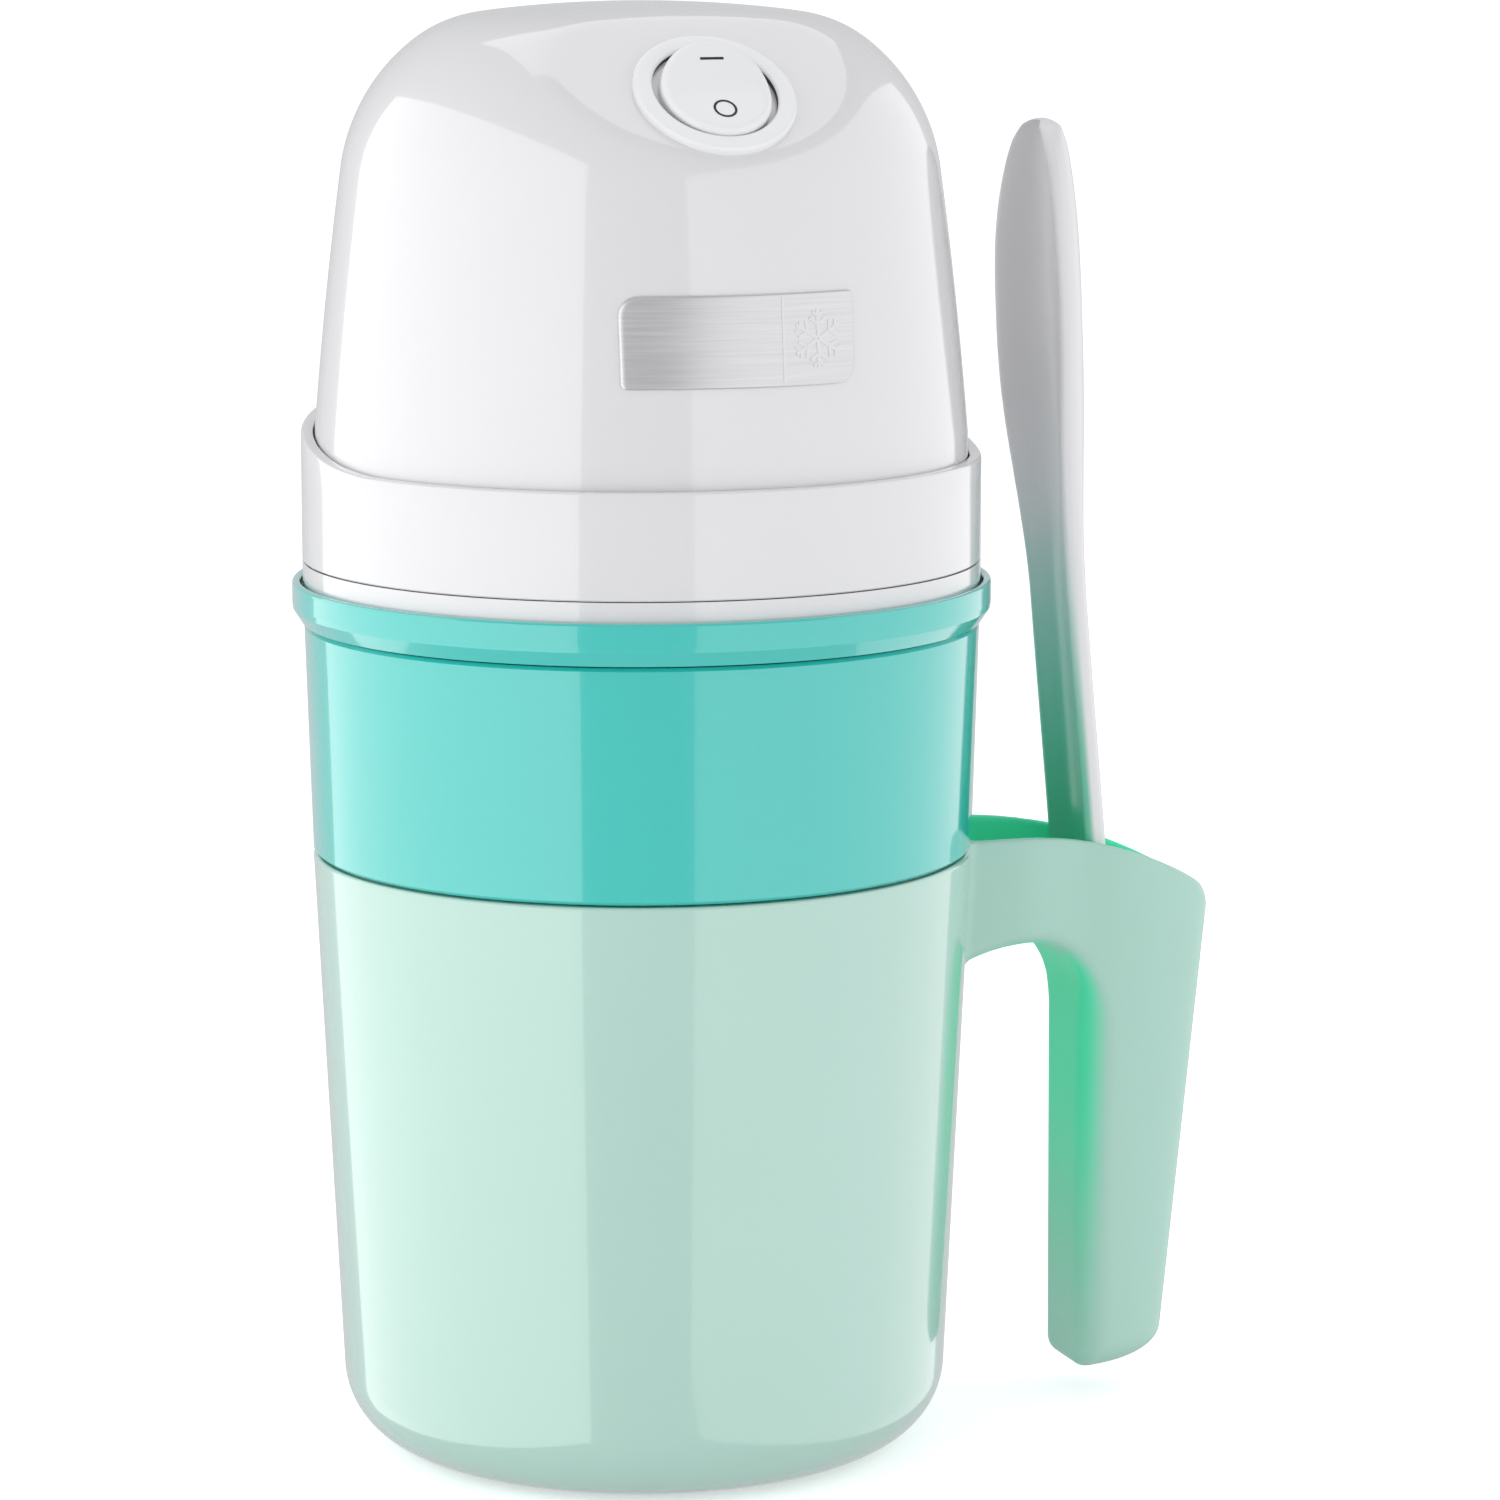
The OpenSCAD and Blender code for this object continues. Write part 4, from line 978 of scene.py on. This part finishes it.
def finish_nodes():
    """Gives each CAD node its material and smooth shading with sharp edges."""
    slots = {part["node"]: part["material_slot"] for part in frame["record"]["subparts"]}
    for name, node in nodes.items():
        node.data.materials.clear()
        node.data.materials.append(SLOTS[slots[name]])
        if "custom_normal" in node.data.attributes:
            node.data.attributes.remove(node.data.attributes["custom_normal"])
        node.data.shade_smooth()
        node.data.set_sharp_from_angle(angle=math.radians(28))


finish_nodes()


# ---------- Studio ----------

def make_sweep():
    """Pale floor that curves up into a backdrop. The camera sees it near white, and gloss doesn't
    see it, so that the softboxes reflect right down to the cup's foot."""
    width, front, back, height, bend = 6.0, -2.5, 1.6, 3.2, 0.9
    profile = [(front, 0.0), (back - bend, 0.0)]
    profile += [(back - bend + bend * math.sin(a), bend - bend * math.cos(a))
                for a in np.radians(np.linspace(6, 90, 15))]
    profile.append((back, height))
    verts = [(x, y, z) for y, z in profile for x in (-width / 2, width / 2)]
    faces = [(2 * i, 2 * i + 1, 2 * i + 3, 2 * i + 2) for i in range(len(profile) - 1)]
    mesh = bpy.data.meshes.new("studio_sweep")
    mesh.from_pydata(verts, [], faces)
    mesh.shade_smooth()
    sweep = bpy.data.objects.new("studio_sweep", mesh)
    sweep.rotation_euler.z = math.radians(CAMERA_TURN)
    scene.collection.objects.link(sweep)
    material, tree, shader = new_material("studio_paper")
    paper = ramp(tree, noise(tree, 3, 2), (0.93, 0.93, 0.935), (0.95, 0.95, 0.955))
    tree.links.new(paper, shader.inputs["Base Color"])
    shader.inputs["Roughness"].default_value = 0.75
    seen = add_node(tree, "ShaderNodeLightPath")
    shader.inputs["Emission Color"].default_value = (1, 1, 1, 1)
    tree.links.new(span(tree, seen.outputs["Is Camera Ray"], 0.0, 0.45), shader.inputs["Emission Strength"])
    mesh.materials.append(material)
    sweep.visible_glossy = False


def softbox(name, bearing, distance, height, size, power, aim):
    """Rectangular softbox. Its bearing is measured from the camera's side, positive to its right."""
    light = bpy.data.lights.new(name, "AREA")
    light.shape = "RECTANGLE"
    light.size, light.size_y = size
    light.energy = power
    angle = math.radians(bearing + CAMERA_TURN - 90)
    lamp = bpy.data.objects.new(name, light)
    lamp.location = (distance * math.cos(angle), distance * math.sin(angle), height)
    lamp.rotation_euler = (Vector(lamp.location) - Vector(aim)).to_track_quat("Z", "Y").to_euler()
    lamp.visible_camera = False
    scene.collection.objects.link(lamp)


def make_world():
    world = bpy.data.worlds.new("studio")
    world.use_nodes = True
    background = world.node_tree.nodes["Background"]
    background.inputs["Color"].default_value = (0.97, 0.98, 1, 1)
    background.inputs["Strength"].default_value = 0.63
    scene.world = world


make_sweep()
make_world()
# The two strips leave a gap round the camera, which shows as the darker band down the middle
STRIP = {"distance": 0.42, "height": 0.10, "aim": (0, 0, 0.10)}
softbox("softbox_left", bearing=-76, size=(1.25, 0.90), power=3.3, **STRIP)
softbox("softbox_right", bearing=82, size=(1.8, 0.90), power=2.8, **STRIP)
softbox("softbox_top", bearing=180, size=(0.9, 0.7), power=1.3, distance=0.3, height=1.1, aim=(0, 0, 0.2))
